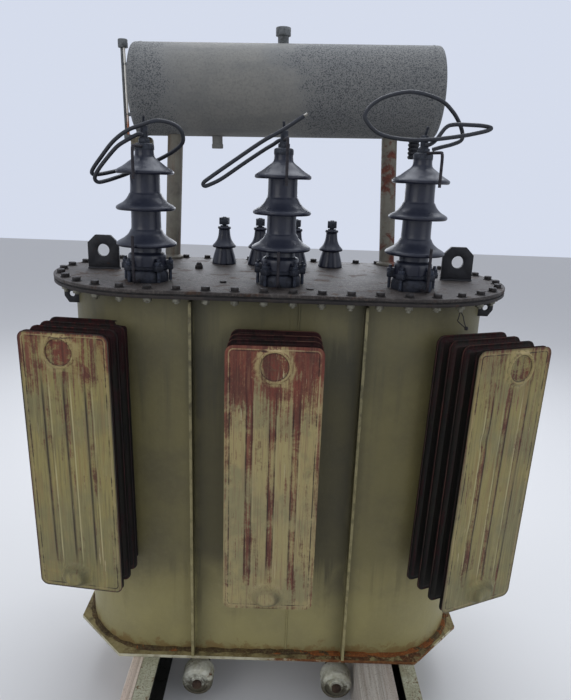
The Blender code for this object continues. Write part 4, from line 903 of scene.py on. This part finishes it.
for side in ("Left", "Right"):
    low, high = sizes["post" + side]
    foot = Vector((low, sizes.postY, coverSizes.top))
    head = Vector((high, sizes.y, sizes.z - radius + 0.02))
    share = (head.z - foot.z) / (sizes.z - foot.z)
    head.x = low + (high - low) * share
    head.y = foot.y + (sizes.y - foot.y) * share
    post = bmesh.new()
    pour(post, along([foot, head], sizes.postRadius, 11))
    pour(post, bar(0.034, 0.0002, 0.008, 48, 0.0012, 2), shift(low, sizes.postY, coverSizes.top))
    ring = [(0.0, 0.008), (0.0285, 0.008), (0.0265, 0.0105), (0.024, 0.0125), (0.0, 0.0126)]
    pour(post, turned(ring, 40), shift(low, sizes.postY, coverSizes.top))
    keep("post" + side, post, postPaint, ("conservator_post_" + side.lower(),), sharpDeg=50.0)
print("conservator made")


# pressed panel radiators

# vertex layers of the radiator paint: dark holds painted shade, shade and pale hold painted shade and painted
# highlight beside the grooves, seam holds dark crease lines that are partly painted shade
panelLayers = ("wear", "dark", "rimShade", "groove", "inside", "boss", "seam", "shade", "pale")


def radiatorPaint():
    material, place = startMaterial("radiatorPaint", 0.55, shine=0.35)
    layer = {name: put("Attribute", "Fac", {}, place.tree, attribute_name=name) for name in panelLayers}
    level = parts(place)[2]
    runs = cloud(stretched(place, (80.0, 80.0, 4.0)), 1.0, 7.0, 0.68, 0.3)
    thin = cloud(stretched(place, (240.0, 240.0, 7.0)), 1.0, 5.0, 0.62, 0.2)
    fine = cloud(place, 170.0, 6.0, 0.72)
    patch = cloud(place, 14.0, 8.0, 0.7, 0.6)
    broad = cloud(place, 5.5, 4.0, 0.6)
    values = {"Vector": place, "Rotation": (0.0, 0.7, 0.0), "Scale": (210.0, 210.0, 9.0)}
    scratch = between(cloud(put("Mapping", "Vector", values), 1.0, 3.0, 0.5), 0.705, 0.745)
    groove, inside, boss = layer["groove"], layer["inside"], layer["boss"]
    clean = between(layer["rimShade"], 0.25, 0.05)
    tint = coats(
        mix(between(broad, 0.4, 0.62), (140, 129, 80), (122, 116, 80)),
        (between(runs, 0.47, 0.66) * 0.55, (104, 95, 66)),
        (between(thin, 0.52, 0.68) * 0.45, (152, 141, 102)),
        (between(thin, 0.48, 0.34) * 0.45, (92, 84, 60)),
        (between(runs, 0.5, 0.38) * 0.32, (118, 84, 58)),
        ((1.0 - between(level, 0.5, 0.8)) * between(patch, 0.36, 0.6) * 0.5, (108, 106, 76)),
        (clean * 0.34, (176, 160, 118)),
        (clean * between(cloud(place, 11.0, 5.0, 0.65), 0.46, 0.6) * 0.45, (112, 110, 80)),
        (clean * between(thin, 0.47, 0.36) * 0.45, (122, 92, 72)),
        # painted shade in the groove valleys on their shaded side, and a painted highlight on the groove crests on
        # the lit side
        (band(groove, 0.001, 0.005, 0.008, 0.0135) * layer["shade"], (66, 60, 42)),
        (band(groove, 0.0082, 0.01, 0.0112, 0.0136) * between(runs, 0.66, 0.42) * layer["pale"], (176, 166, 124)))
    edge = centred(patch, 1.7) + centred(runs, 1.9) + centred(thin, 1.8) + centred(fine, 0.8)
    land = 1.0 - between(groove, 0.006, 0.011)
    ring = band(boss, 0.033, 0.0352, 0.0365, 0.04) * between(patch + centred(thin, 0.6), 0.58, 0.44)
    outer = band(boss + centred(patch, 0.06), 0.031, 0.036, 0.042, 0.054)
    ring = larger(ring, outer * between(runs, 0.6, 0.42))
    disc = 1.0 - between(boss, 0.0322, 0.035)
    raw = layer["wear"] + edge + land * 0.12 + disc * (centred(patch, 3.2) + 0.3)
    # a pale line along the pan's edge crest: kept cream paint and a painted highlight
    rimLine = band(inside, 0.0068, 0.0082, 0.0092, 0.0108) * between(patch, 0.62, 0.42)
    bare = between(raw, 0.26, 0.78) * 0.95 * (1.0 - ring * 0.82) * (1.0 - rimLine * 0.9)
    primer = coats(
        mix(between(runs, 0.4, 0.62), (108, 51, 43), (80, 39, 37)),
        (between(thin, 0.5, 0.66) * 0.5, (128, 86, 66)),
        (between(patch, 0.5, 0.64) * 0.5, (70, 42, 36)),
        (between(fine, 0.54, 0.68) * 0.4, (122, 96, 76)))
    # dark lines at the valley corners, the pan edge and the boss: partly dirt in the creases, partly painted shade,
    # stronger on the shaded side of each groove
    seam = band(groove, 0.0046, 0.0062, 0.0074, 0.0093) * layer["seam"]
    seam = seam * between(runs + centred(patch, 0.7), 0.34, 0.54)
    seam = larger(seam, band(inside, 0.01, 0.0112, 0.0124, 0.0142) * between(patch, 0.44, 0.58))
    seam = larger(seam, band(boss, 0.0305, 0.032, 0.0326, 0.034) * 0.7)
    redSide = between(runs + patch * 0.6 + between(level, 0.9, 1.16) * 0.12, 0.8, 1.0)
    lip = (1.0 - between(inside, 0.0003, 0.0022)) * between(patch, 0.38, 0.62)
    # painted shade: the near-black tone of the rear panels and of the shade round the dome button, with red primer
    # on the panel sides and paler lips at the sheet edges
    shadeTone = coats(
        mix(between(thin, 0.42, 0.62), (9, 9, 11), (22, 19, 19)),
        (redSide * between(inside, 0.026, 0.007) * 0.7, (54, 26, 28)),
        (lip * 0.8, mix(runs, (92, 50, 42), (92, 80, 66))))
    # painted shade on the flat border of the side radiators, partly red-brown
    border = (1.0 - between(inside, 0.0022, 0.0046)) * layer["rimShade"]
    tint = coats(
        tint,
        (bare, primer),
        (disc * between(fine, 0.46, 0.62) * 0.45, (84, 66, 52)),
        (rimLine * 0.45, (162, 140, 106)),
        (ring * 0.55, (168, 150, 104)),
        (seam * 0.9, (44, 31, 25)),
        (scratch * 0.7, (176, 164, 130)),
        (layer["dark"] * 0.97, shadeTone),
        (border * between(runs + layer["rimShade"], 0.62, 0.98),
         mix(between(runs, 0.46, 0.62), (34, 30, 30), (74, 36, 33))))
    rough = bare * 0.24 + layer["dark"] * 0.3 + 0.5
    return finished(material, tint, rough, fine * 0.5 - bare * 0.6 + thin * 0.5, 0.45, 0.001)


radiatorSizes = Named({
    "width": 0.226, "low": 0.492, "high": 1.187, "pitch": 0.046, "count": 4, "bulge": 0.009, "edge": 0.011,
    "slope": 0.006, "corner": 0.02, "valleys": (-0.0545, 0.0, 0.0545), "valleyHalf": 0.0068,
    "valleyLow": (0.566, 0.56, 0.556), "valleyHigh": (1.1, 1.084, 1.1), "bossZ": 1.139,
    "domeZ": 0.533, "domeAcross": 0.048, "domeTall": 0.038, "domeRise": 0.019,
    "headerRadius": 0.024, "headerInset": 0.058,
})


def eased(value, low, high):
    share = min(max((value - low) / (high - low), 0.0), 1.0)
    return share * share * (3.0 - 2.0 * share)


def spacing(marks, step):
    run = [marks[0]]
    for mark in marks[1:]:
        count = max(1, round((mark - run[-1]) / step))
        start = run[-1]
        run += [start + (mark - start) * (index + 1) / count for index in range(count)]
    return run


def panelSpot(x, z, front, look, seed):
    sizes = radiatorSizes
    half = sizes.width / 2.0
    tall = (sizes.high - sizes.low) / 2.0
    middle = (sizes.high + sizes.low) / 2.0
    outX = abs(x) - (half - sizes.corner)
    outZ = abs(z - middle) - (tall - sizes.corner)
    inside = sizes.corner - math.hypot(max(outX, 0.0), max(outZ, 0.0)) - min(max(outX, outZ), 0.0)
    rise = eased(inside, sizes.edge - 0.001, sizes.edge + sizes.slope * 0.6)
    height = 0.0008 + 0.0018 * (eased(inside, -0.001, 0.0012) - eased(inside, 0.003, 0.0048))
    face = sizes.bulge + 0.001 * noise.noise(Vector((x * 16.0 + seed, z * 5.0, seed)))
    groove = 1.0
    for index, centre in enumerate(sizes.valleys):
        past = max(sizes.valleyLow[index] - z, z - sizes.valleyHigh[index], 0.0)
        groove = min(groove, math.hypot(x - centre, past))
    dip = 1.0 - eased(groove, sizes.valleyHalf, sizes.valleyHalf + sizes.slope * 0.7)
    ridge = 1.0 - eased(groove, 0.003, 0.0052)
    height += rise * (face - 0.0008) * (1.0 - dip) + ridge * 0.0022 * rise
    wear = look["low"] + look["top"] * eased(z, look["fade"] - 0.1, look["fade"] + 0.06)
    wear += 0.35 * look["top"] * eased(z, look["fade"] - 0.3, look["fade"])
    wear += look["groove"] * 0.34 * (1.0 - eased(groove, 0.006, 0.012))
    wear += look["rim"] * 0.3 * (1.0 - eased(inside, 0.006, 0.015))
    ends = eased(z, 0.548, 0.61) * (1.0 - eased(z, 1.02, 1.1))
    # the groove lines, the painted shade and the painted highlight are split between the two sides of each groove
    # by sides, and depth sets the painted shade
    left, right = look["sides"]
    share = min((abs(x - centre), left if x < centre else right) for centre in sizes.valleys)[1]
    seam = ends * share
    shade = ends * max(2.0 * share - 1.0, 0.0) * look["depth"]
    pale = ends * (1.15 - share) * 0.9
    boss = 1.0
    domeShade = 0.0
    if front:
        boss = math.hypot(x - look["bossX"], z - sizes.bossZ)
        crest = eased(boss, 0.032, 0.0352) * (1.0 - eased(boss, 0.037, 0.045))
        disc = 1.0 - eased(boss, 0.0325, 0.036)
        height = max(height, sizes.bulge + 0.0085 * crest, sizes.bulge + 0.003 * disc * (1.0 - crest))
        low = math.hypot((x - look["domeX"]) / sizes.domeAcross, (z - sizes.domeZ) / sizes.domeTall)
        dome = 1.0 - eased(low, 0.5, 1.0)
        button = 1.0 - eased(low, 0.4, 0.58)
        lumps = 0.004 * noise.noise(Vector((x * 42.0, z * 42.0, seed))) * dome
        bulge = (dome * sizes.domeRise + button * 0.003) * eased(inside, 0.0, 0.006) + lumps
        height += bulge
        wear -= 0.5 * dome
        seam = max(seam * (1.0 - dome), 0.0)
        shade *= 1.0 - dome
        # painted shade: a ring round the dome button, stronger towards its lower right, and a painted contact
        # shadow in the gap under the dome
        domeShade = 0.5 * eased(low, 0.38, 0.55) * (1.0 - eased(low, 0.6, 0.86))
        slant = (x - look["domeX"]) / sizes.domeAcross - (z - sizes.domeZ) / 0.05
        domeShade *= 0.55 + 0.45 * eased(slant, -0.4, 0.6)
        gap = 0.7 * (1.0 - eased(inside, 0.001, 0.0035)) * (1.0 - eased(abs(x - look["domeX"]), 0.02, 0.04))
        domeShade = max(domeShade, gap * (z < sizes.domeZ))
    return height, min(max(wear, 0.0), 1.0), groove, inside, boss, seam, shade, pale, domeShade


def panelSheet(front, facing, seed, rearShade, look):
    sizes = radiatorSizes
    half = sizes.width / 2.0
    if front:
        rim = (0.0, 0.0008, 0.0016, 0.003, 0.0045, 0.008, 0.01, 0.0115, 0.013, 0.0148, 0.017)
        local = (-0.0135, -0.0112, -0.01, -0.0084, -0.0068, -0.0052, -0.004, -0.0028, 0.0, 0.0028, 0.004,
                 0.0052, 0.0068, 0.0084, 0.01, 0.0112, 0.0135)
        acrossStep, upStep = 0.0045, 0.005
    else:
        rim = (0.0, 0.0016, 0.0045, 0.011, 0.0145, 0.0182)
        local = (-0.013, -0.01, -0.0068, 0.0, 0.0068, 0.01, 0.013)
        acrossStep, upStep = 0.02, 0.028
    marks = [-half + inset for inset in rim]
    for centre in sizes.valleys:
        marks += [centre + offset for offset in local]
    marks += [half - inset for inset in reversed(rim)]
    columns = spacing(marks, acrossStep)
    corners = rim + (sizes.corner,)
    marks = [sizes.low + inset for inset in corners]
    marks += [sizes.high - inset for inset in reversed(corners)]
    rows = spacing(marks, upStep)
    bm = bmesh.new()
    layers = [bm.verts.layers.float.new(name) for name in panelLayers]
    across, up = len(columns) - 1, len(rows) - 1
    bmesh.ops.create_grid(bm, x_segments=across, y_segments=up, size=0.5)
    for vert in bm.verts:
        x = columns[round((vert.co.x + 0.5) * across)]
        z = rows[round((vert.co.y + 0.5) * up)]
        away = min(z - sizes.low, sizes.high - z)
        if away < sizes.corner:
            reach = math.sqrt(max(sizes.corner ** 2 - (sizes.corner - away) ** 2, 0.0))
            x *= (half - sizes.corner + reach) / half
        height, wear, groove, inside, boss, seam, shade, pale, domeShade = panelSpot(x, z, front, look, seed)
        for centreX, centreZ, size, deep in look["dents"] if front else ():
            height -= deep * math.exp(-((x - centreX) ** 2 + (z - centreZ) ** 2) / (size * size))
        vert.co = (x, facing * height, z)
        # the dark layer is painted shade: full on every sheet but the front face of the first panel, and round the
        # dome there
        values = (wear, max(rearShade, domeShade), look["rimShade"], groove, inside, boss, seam, shade, pale)
        for layer, value in zip(layers, values):
            vert[layer] = value
    return bm


def headerReach(matrix, level):
    reach = 0.02
    while reach < 0.3:
        spot = matrix @ Vector((0.0, reach, level))
        flat = max(abs(spot.x) - (tankSizes.halfLength - tankSizes.halfWidth), 0.0)
        if math.hypot(flat, spot.y) < tankSizes.halfWidth - 0.002:
            return reach
        reach += 0.001
    return reach


radiatorSkin = radiatorPaint()
# sides splits the groove lines, painted shade and painted highlight between the two sides of each groove; depth
# sets the painted shade; rimShade sets the painted shade on the flat border
lookNames = ("seed", "top", "fade", "low", "groove", "rim", "rimShade", "sides", "depth", "bossX", "domeX", "dents")
radiatorPlaces = {
    "front_left": (-0.502, -0.356, -8.5, -0.7, 3.1, 0.46, 1.11, 0.02, 0.2, 0.2, 0.85, (1.0, 0.35), 0.75,
                   -0.01, -0.01, ()),
    "front_centre": (-0.004, -0.414, 0.0, 0.0, 8.7, 0.56, 1.095, 0.13, 0.7, 0.7, 0.0, (1.0, 0.85), 0.25,
                     0.0, -0.004, ((0.094, 0.868, 0.016, 0.007), (-0.07, 1.02, 0.018, 0.003))),
    "front_right": (0.557, -0.366, 25.0, 1.6, 15.2, 0.22, 1.14, 0.07, 0.5, 0.4, 0.5, (0.35, 1.0), 0.45,
                    0.018, 0.006, ((-0.06, 0.96, 0.02, 0.004), (-0.075, 0.7, 0.026, 0.0035))),
    "back_left": (-0.545, -0.362, -17.0, 0.0, 21.4, 0.34, 1.09, 0.09, 0.5, 0.5, 0.5, (0.5, 0.9), 0.4,
                  0.0, 0.0, ()),
    "back_centre": (0.0, -0.414, 0.0, 0.0, 27.9, 0.42, 1.07, 0.11, 0.6, 0.6, 0.3, (0.9, 0.9), 0.4,
                    0.0, 0.0, ((0.05, 0.75, 0.022, 0.004),)),
    "back_right": (0.545, -0.362, 17.0, 0.0, 33.5, 0.34, 1.1, 0.09, 0.5, 0.5, 0.5, (0.9, 0.5), 0.4,
                   0.0, 0.0, ()),
}
sizes = radiatorSizes
for name, (x, y, turnDeg, leanDeg, *values) in radiatorPlaces.items():
    look = dict(zip(lookNames, values))
    mirrored = name.startswith("back")
    flip = Matrix.Scale(-1.0, 4, (0.0, 1.0, 0.0)) if mirrored else Matrix.Identity(4)
    lean = shift(0.0, 0.0, sizes.high) @ turn("Y", leanDeg) @ shift(0.0, 0.0, -sizes.high)
    matrix = flip @ shift(x, y, 0.0) @ turn("Z", turnDeg) @ lean
    stack = bmesh.new()
    for layer in panelLayers:
        stack.verts.layers.float.new(layer)
    for index in range(sizes.count):
        place = matrix @ shift(0.0, sizes.bulge + index * sizes.pitch, 0.0)
        for front in (True, False):
            finest = front and index == 0
            part = panelSheet(finest, -1.0 if front else 1.0, look["seed"] + index * 2.3 + front,
                              0.0 if finest else 1.0, look)
            pour(stack, part, place)
    keep("radiatorPanels_" + name, stack, radiatorSkin, ("radiator_" + name,), sharpDeg=60.0,
         weld=0.00001)
    pipes = bmesh.new()
    for level in (sizes.low + sizes.headerInset, sizes.high - sizes.headerInset):
        reach = headerReach(matrix, level)
        pour(pipes, along([(0.0, 0.01, level), (0.0, reach, level)], sizes.headerRadius, 9), matrix)
        pour(pipes, roughLine((0.0, reach - 0.003, level), (0.0, reach + 0.002, level),
                              sizes.headerRadius + 0.003, 2, 0.0), matrix)
        for index in range(sizes.count - 1):
            start = sizes.bulge * 2.0 + index * sizes.pitch - 0.001
            end = start + sizes.pitch - 2.0 * sizes.bulge + 0.002
            pour(pipes, along([(0.0, start, level), (0.0, end, level)], sizes.headerRadius + 0.006, 9), matrix)
    keep("radiatorHeaders_" + name, pipes, rimGrime)
print("radiators made")


# bottom plate, rollers and what it stands on

plateRust = agedPaint(
    "plateRust",
    paint=(134, 122, 82), patch=(92, 76, 46), speck=(156, 146, 108), patchScale=16.0, fineScale=120.0,
    fineShare=0.55, run=(58, 50, 30), runShare=0.7, runStretch=(36.0, 36.0, 36.0), rust=(70, 48, 32),
    rustLight=(114, 76, 46), rustFrom=0.61, rustScale=34.0, rustSoft=0.12, rightRust=True, rough=0.8, bump=0.8)
plateEdge = agedPaint(
    "plateEdge",
    paint=(184, 180, 154), patch=(136, 128, 98), speck=(206, 202, 180), patchScale=12.0, run=(92, 74, 50),
    runShare=0.5, runStretch=(26.0, 26.0, 26.0), rust=(96, 62, 38), rustLight=(132, 92, 56), rustFrom=0.58,
    rustScale=18.0, rightRust=True, rough=0.8)
barRust = metalSkin("barRust", (72, 55, 42), (46, 35, 28), (112, 76, 50), 0.1, 0.75, 40.0, 0.6)
rollerMoss = agedPaint(
    "rollerMoss",
    paint=(222, 223, 208), patch=(178, 176, 150), speck=(232, 232, 220), patchScale=22.0, fineShare=0.5,
    run=(112, 98, 74), runShare=0.45, runStretch=(50.0, 50.0, 50.0), rust=(88, 62, 42), rustLight=(124, 92, 62),
    rustFrom=0.57, rough=0.75, bump=0.6, low=(48, 42, 28), lowEnd=0.112, lowSoft=0.04, lowShare=0.9, faces=1,
    faceShare=0.3, faceFlecks=0.3, face=(92, 84, 60))
# beams: the near-black inner and lower faces are painted shade
beamPale = agedPaint(
    "beamPale",
    paint=(188, 188, 164), patch=(158, 156, 130), speck=(92, 88, 70), patchScale=16.0, fineScale=190.0,
    fineShare=0.75, run=(122, 110, 84), runShare=0.4, runStretch=(60.0, 6.0, 60.0), rust=(98, 74, 50),
    rustLight=(130, 104, 74), rustFrom=0.58, rustScale=60.0, rough=0.8, bump=0.7, inward=(16, 15, 14))


def woodGrain(name, pale, dark, warm):
    material, place = startMaterial(name, 0.85)
    lines = cloud(stretched(place, (130.0, 3.0, 130.0)), 1.0, 7.0, 0.7, 0.6)
    broad = cloud(stretched(place, (24.0, 2.0, 24.0)), 1.0, 5.0, 0.6)
    cracks = between(cloud(stretched(place, (210.0, 5.0, 210.0)), 1.0, 4.0), 0.66, 0.72)
    specks = between(cloud(place, 260.0, 5.0, 0.7), 0.54, 0.64)
    tint = coats(pale, (between(lines, 0.38, 0.66), dark), (between(broad, 0.45, 0.7) * 0.6, warm),
                 (cracks, (44, 38, 32)), (specks * 0.5, (84, 76, 66)))
    return finished(material, tint, None, lines - cracks * 1.6, 0.6, 0.0016)


timberLeft = woodGrain("timberLeft", (228, 214, 198), (190, 172, 156), (214, 188, 174))
timberRight = woodGrain("timberRight", (192, 186, 176), (154, 146, 136), (172, 158, 146))


def dress(name, material, bevel=0.0):
    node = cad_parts[name]
    node.data.materials.clear()
    node.data.materials.append(material)
    if bevel:
        soften = node.modifiers.new("softEdges", "BEVEL")
        soften.width = bevel
        soften.segments = 2
        soften.limit_method = "ANGLE"
        soften.angle_limit = math.radians(40.0)


groundSizes = Named({
    "plateHalf": (0.588, 0.264), "plateCorner": 0.155, "plateLow": 0.19, "plateTop": 0.2,
    "rollerX": 0.208, "rollerY": 0.22, "rollerZ": 0.088, "rollerRadius": 0.046, "rollerHalf": 0.031,
    "timbers": (("left", -0.3765, 0.032, timberLeft), ("right", 0.3125, 0.102, timberRight)),
    "timberTop": 0.1895, "timberFront": -0.44, "timberBack": 0.4,
})
sizes = groundSizes
halfX, halfY = sizes.plateHalf
cut = sizes.plateCorner
outline = [(halfX - cut, -halfY), (halfX, cut - halfY), (halfX, halfY - cut), (halfX - cut, halfY)]
outline += [(-x, -y) for x, y in outline]
plate = slab(outline, sizes.plateLow, sizes.plateTop, 0.0016, 3)
piece = keep("bottomPlate", plate, plateRust, ("bottom_plate",), sharpDeg=40.0)
piece.data.materials.append(plateEdge)
for face in piece.data.polygons:
    face.material_index = 1 if abs(face.normal.z) < 0.8 else 0
for name in ("roller_bar_front", "roller_bar_back"):
    dress(name, barRust)
for name in ("beam_left", "beam_right"):
    dress(name, beamPale, 0.0012)
radius, half = sizes.rollerRadius, sizes.rollerHalf
for face, sign in (("front", -1.0), ("back", 1.0)):
    for side, x in (("left", -sizes.rollerX), ("right", sizes.rollerX)):
        run = [(0.0101, -half), (0.02, -half), (0.0206, 0.0008 - half), (0.0206, 0.005 - half),
               (0.0225, 0.0062 - half), (radius - 0.015, 0.0062 - half), (radius - 0.0134, 0.005 - half),
               (radius - 0.0126, 0.001 - half), (radius - 0.0108, -half), (radius - 0.0062, 0.001 - half),
               (radius - 0.0028, 0.0034 - half), (radius - 0.0008, 0.0072 - half), (radius, 0.0125 - half)]
        run += [(r, -z) for r, z in reversed(run)]
        name = "roller_" + face + "_" + side
        axle = shift(x, sign * sizes.rollerY, sizes.rollerZ) @ turn("X", 90.0)
        keep("drumRoller_" + face + "_" + side, turned(run, 72), rollerMoss, (name,), axle,
             name, 40.0)
for side, x, width, material in sizes.timbers:
    timber = block((x - width / 2.0, sizes.timberFront, 0.0002),
                   (x + width / 2.0, sizes.timberBack, sizes.timberTop), 0.003, 3)
    lengthwise = [edge for edge in timber.edges if abs((edge.verts[0].co - edge.verts[1].co).y) > 0.1]
    bmesh.ops.subdivide_edges(timber, edges=lengthwise, cuts=60, use_grid_fill=True)
    for vert in timber.verts:
        wave = waver(Vector((vert.co.x * 6.0, vert.co.y * 14.0, vert.co.z * 6.0)))
        vert.co.x += 0.0012 * wave.x
        if vert.co.z > 0.1:
            vert.co.z -= 0.001 * abs(wave.z)
    keep("timberBar_" + side, timber, material, ("timber_" + side,))
print("undercarriage made")


# floor, background and lamps

floorMaterial = startMaterial("floorPale", 0.9)[0]
floorMaterial.node_tree.nodes["Principled BSDF"].inputs["Base Color"].default_value = (0.66, 0.66, 0.66, 1.0)
floorMesh = bpy.data.meshes.new("floor")
floorForm = bmesh.new()
bmesh.ops.create_grid(floorForm, x_segments=1, y_segments=1, size=12.0)
floorForm.to_mesh(floorMesh)
floorForm.free()
floor = bpy.data.objects.new("floor", floorMesh)
floor.location.z = -0.0005
floorMesh.materials.append(floorMaterial)
scene.collection.objects.link(floor)

world = bpy.data.worlds.new("paleRoom")
scene.world = world
world.use_nodes = True
tree = world.node_tree
room = tree.nodes["Background"]
room.inputs["Color"].default_value = (0.86, 0.9, 1.0, 1.0)
room.inputs["Strength"].default_value = 0.66
pale = tree.nodes.new("ShaderNodeBackground")
pale.inputs["Color"].default_value = colour((212, 219, 235))
seen = tree.nodes.new("ShaderNodeLightPath")
chooser = tree.nodes.new("ShaderNodeMixShader")
shown = larger(Field(seen.outputs["Is Camera Ray"]), Field(seen.outputs["Is Glossy Ray"]))
shown = larger(shown, Field(seen.outputs["Is Transmission Ray"]))
tree.links.new(shown.socket, chooser.inputs[0])
tree.links.new(room.outputs[0], chooser.inputs[1])
tree.links.new(pale.outputs[0], chooser.inputs[2])
tree.links.new(chooser.outputs[0], tree.nodes["World Output"].inputs["Surface"])

lampSizes = {
    "above": ((0.2, 1.2, 3.9), (0.0, 0.0, 1.2), 3.4, 95.0, (0.92, 0.95, 1.0)),
    "frontLeft": ((-2.6, -3.0, 2.6), (0.0, 0.0, 0.9), 2.4, 26.0, (1.0, 0.98, 0.95)),
    "frontRight": ((2.8, -2.4, 2.2), (0.0, 0.0, 0.9), 2.2, 13.0, (0.95, 0.97, 1.0)),
    "behind": ((0.0, 3.2, 2.6), (0.0, 0.0, 1.3), 2.6, 46.0, (0.92, 0.95, 1.0)),
}
for name, (spot, aim, size, energy, tint) in lampSizes.items():
    light = bpy.data.lights.new(name, "AREA")
    light.shape = "SQUARE"
    light.size = size
    light.energy = energy
    light.color = tint
    lamp = bpy.data.objects.new(name, light)
    scene.collection.objects.link(lamp)
    way = Vector(aim) - Vector(spot)
    lamp.matrix_world = Matrix.Translation(spot) @ way.to_track_quat("-Z", "Y").to_matrix().to_4x4()
scene.view_settings.view_transform = "Standard"

print("scene made")
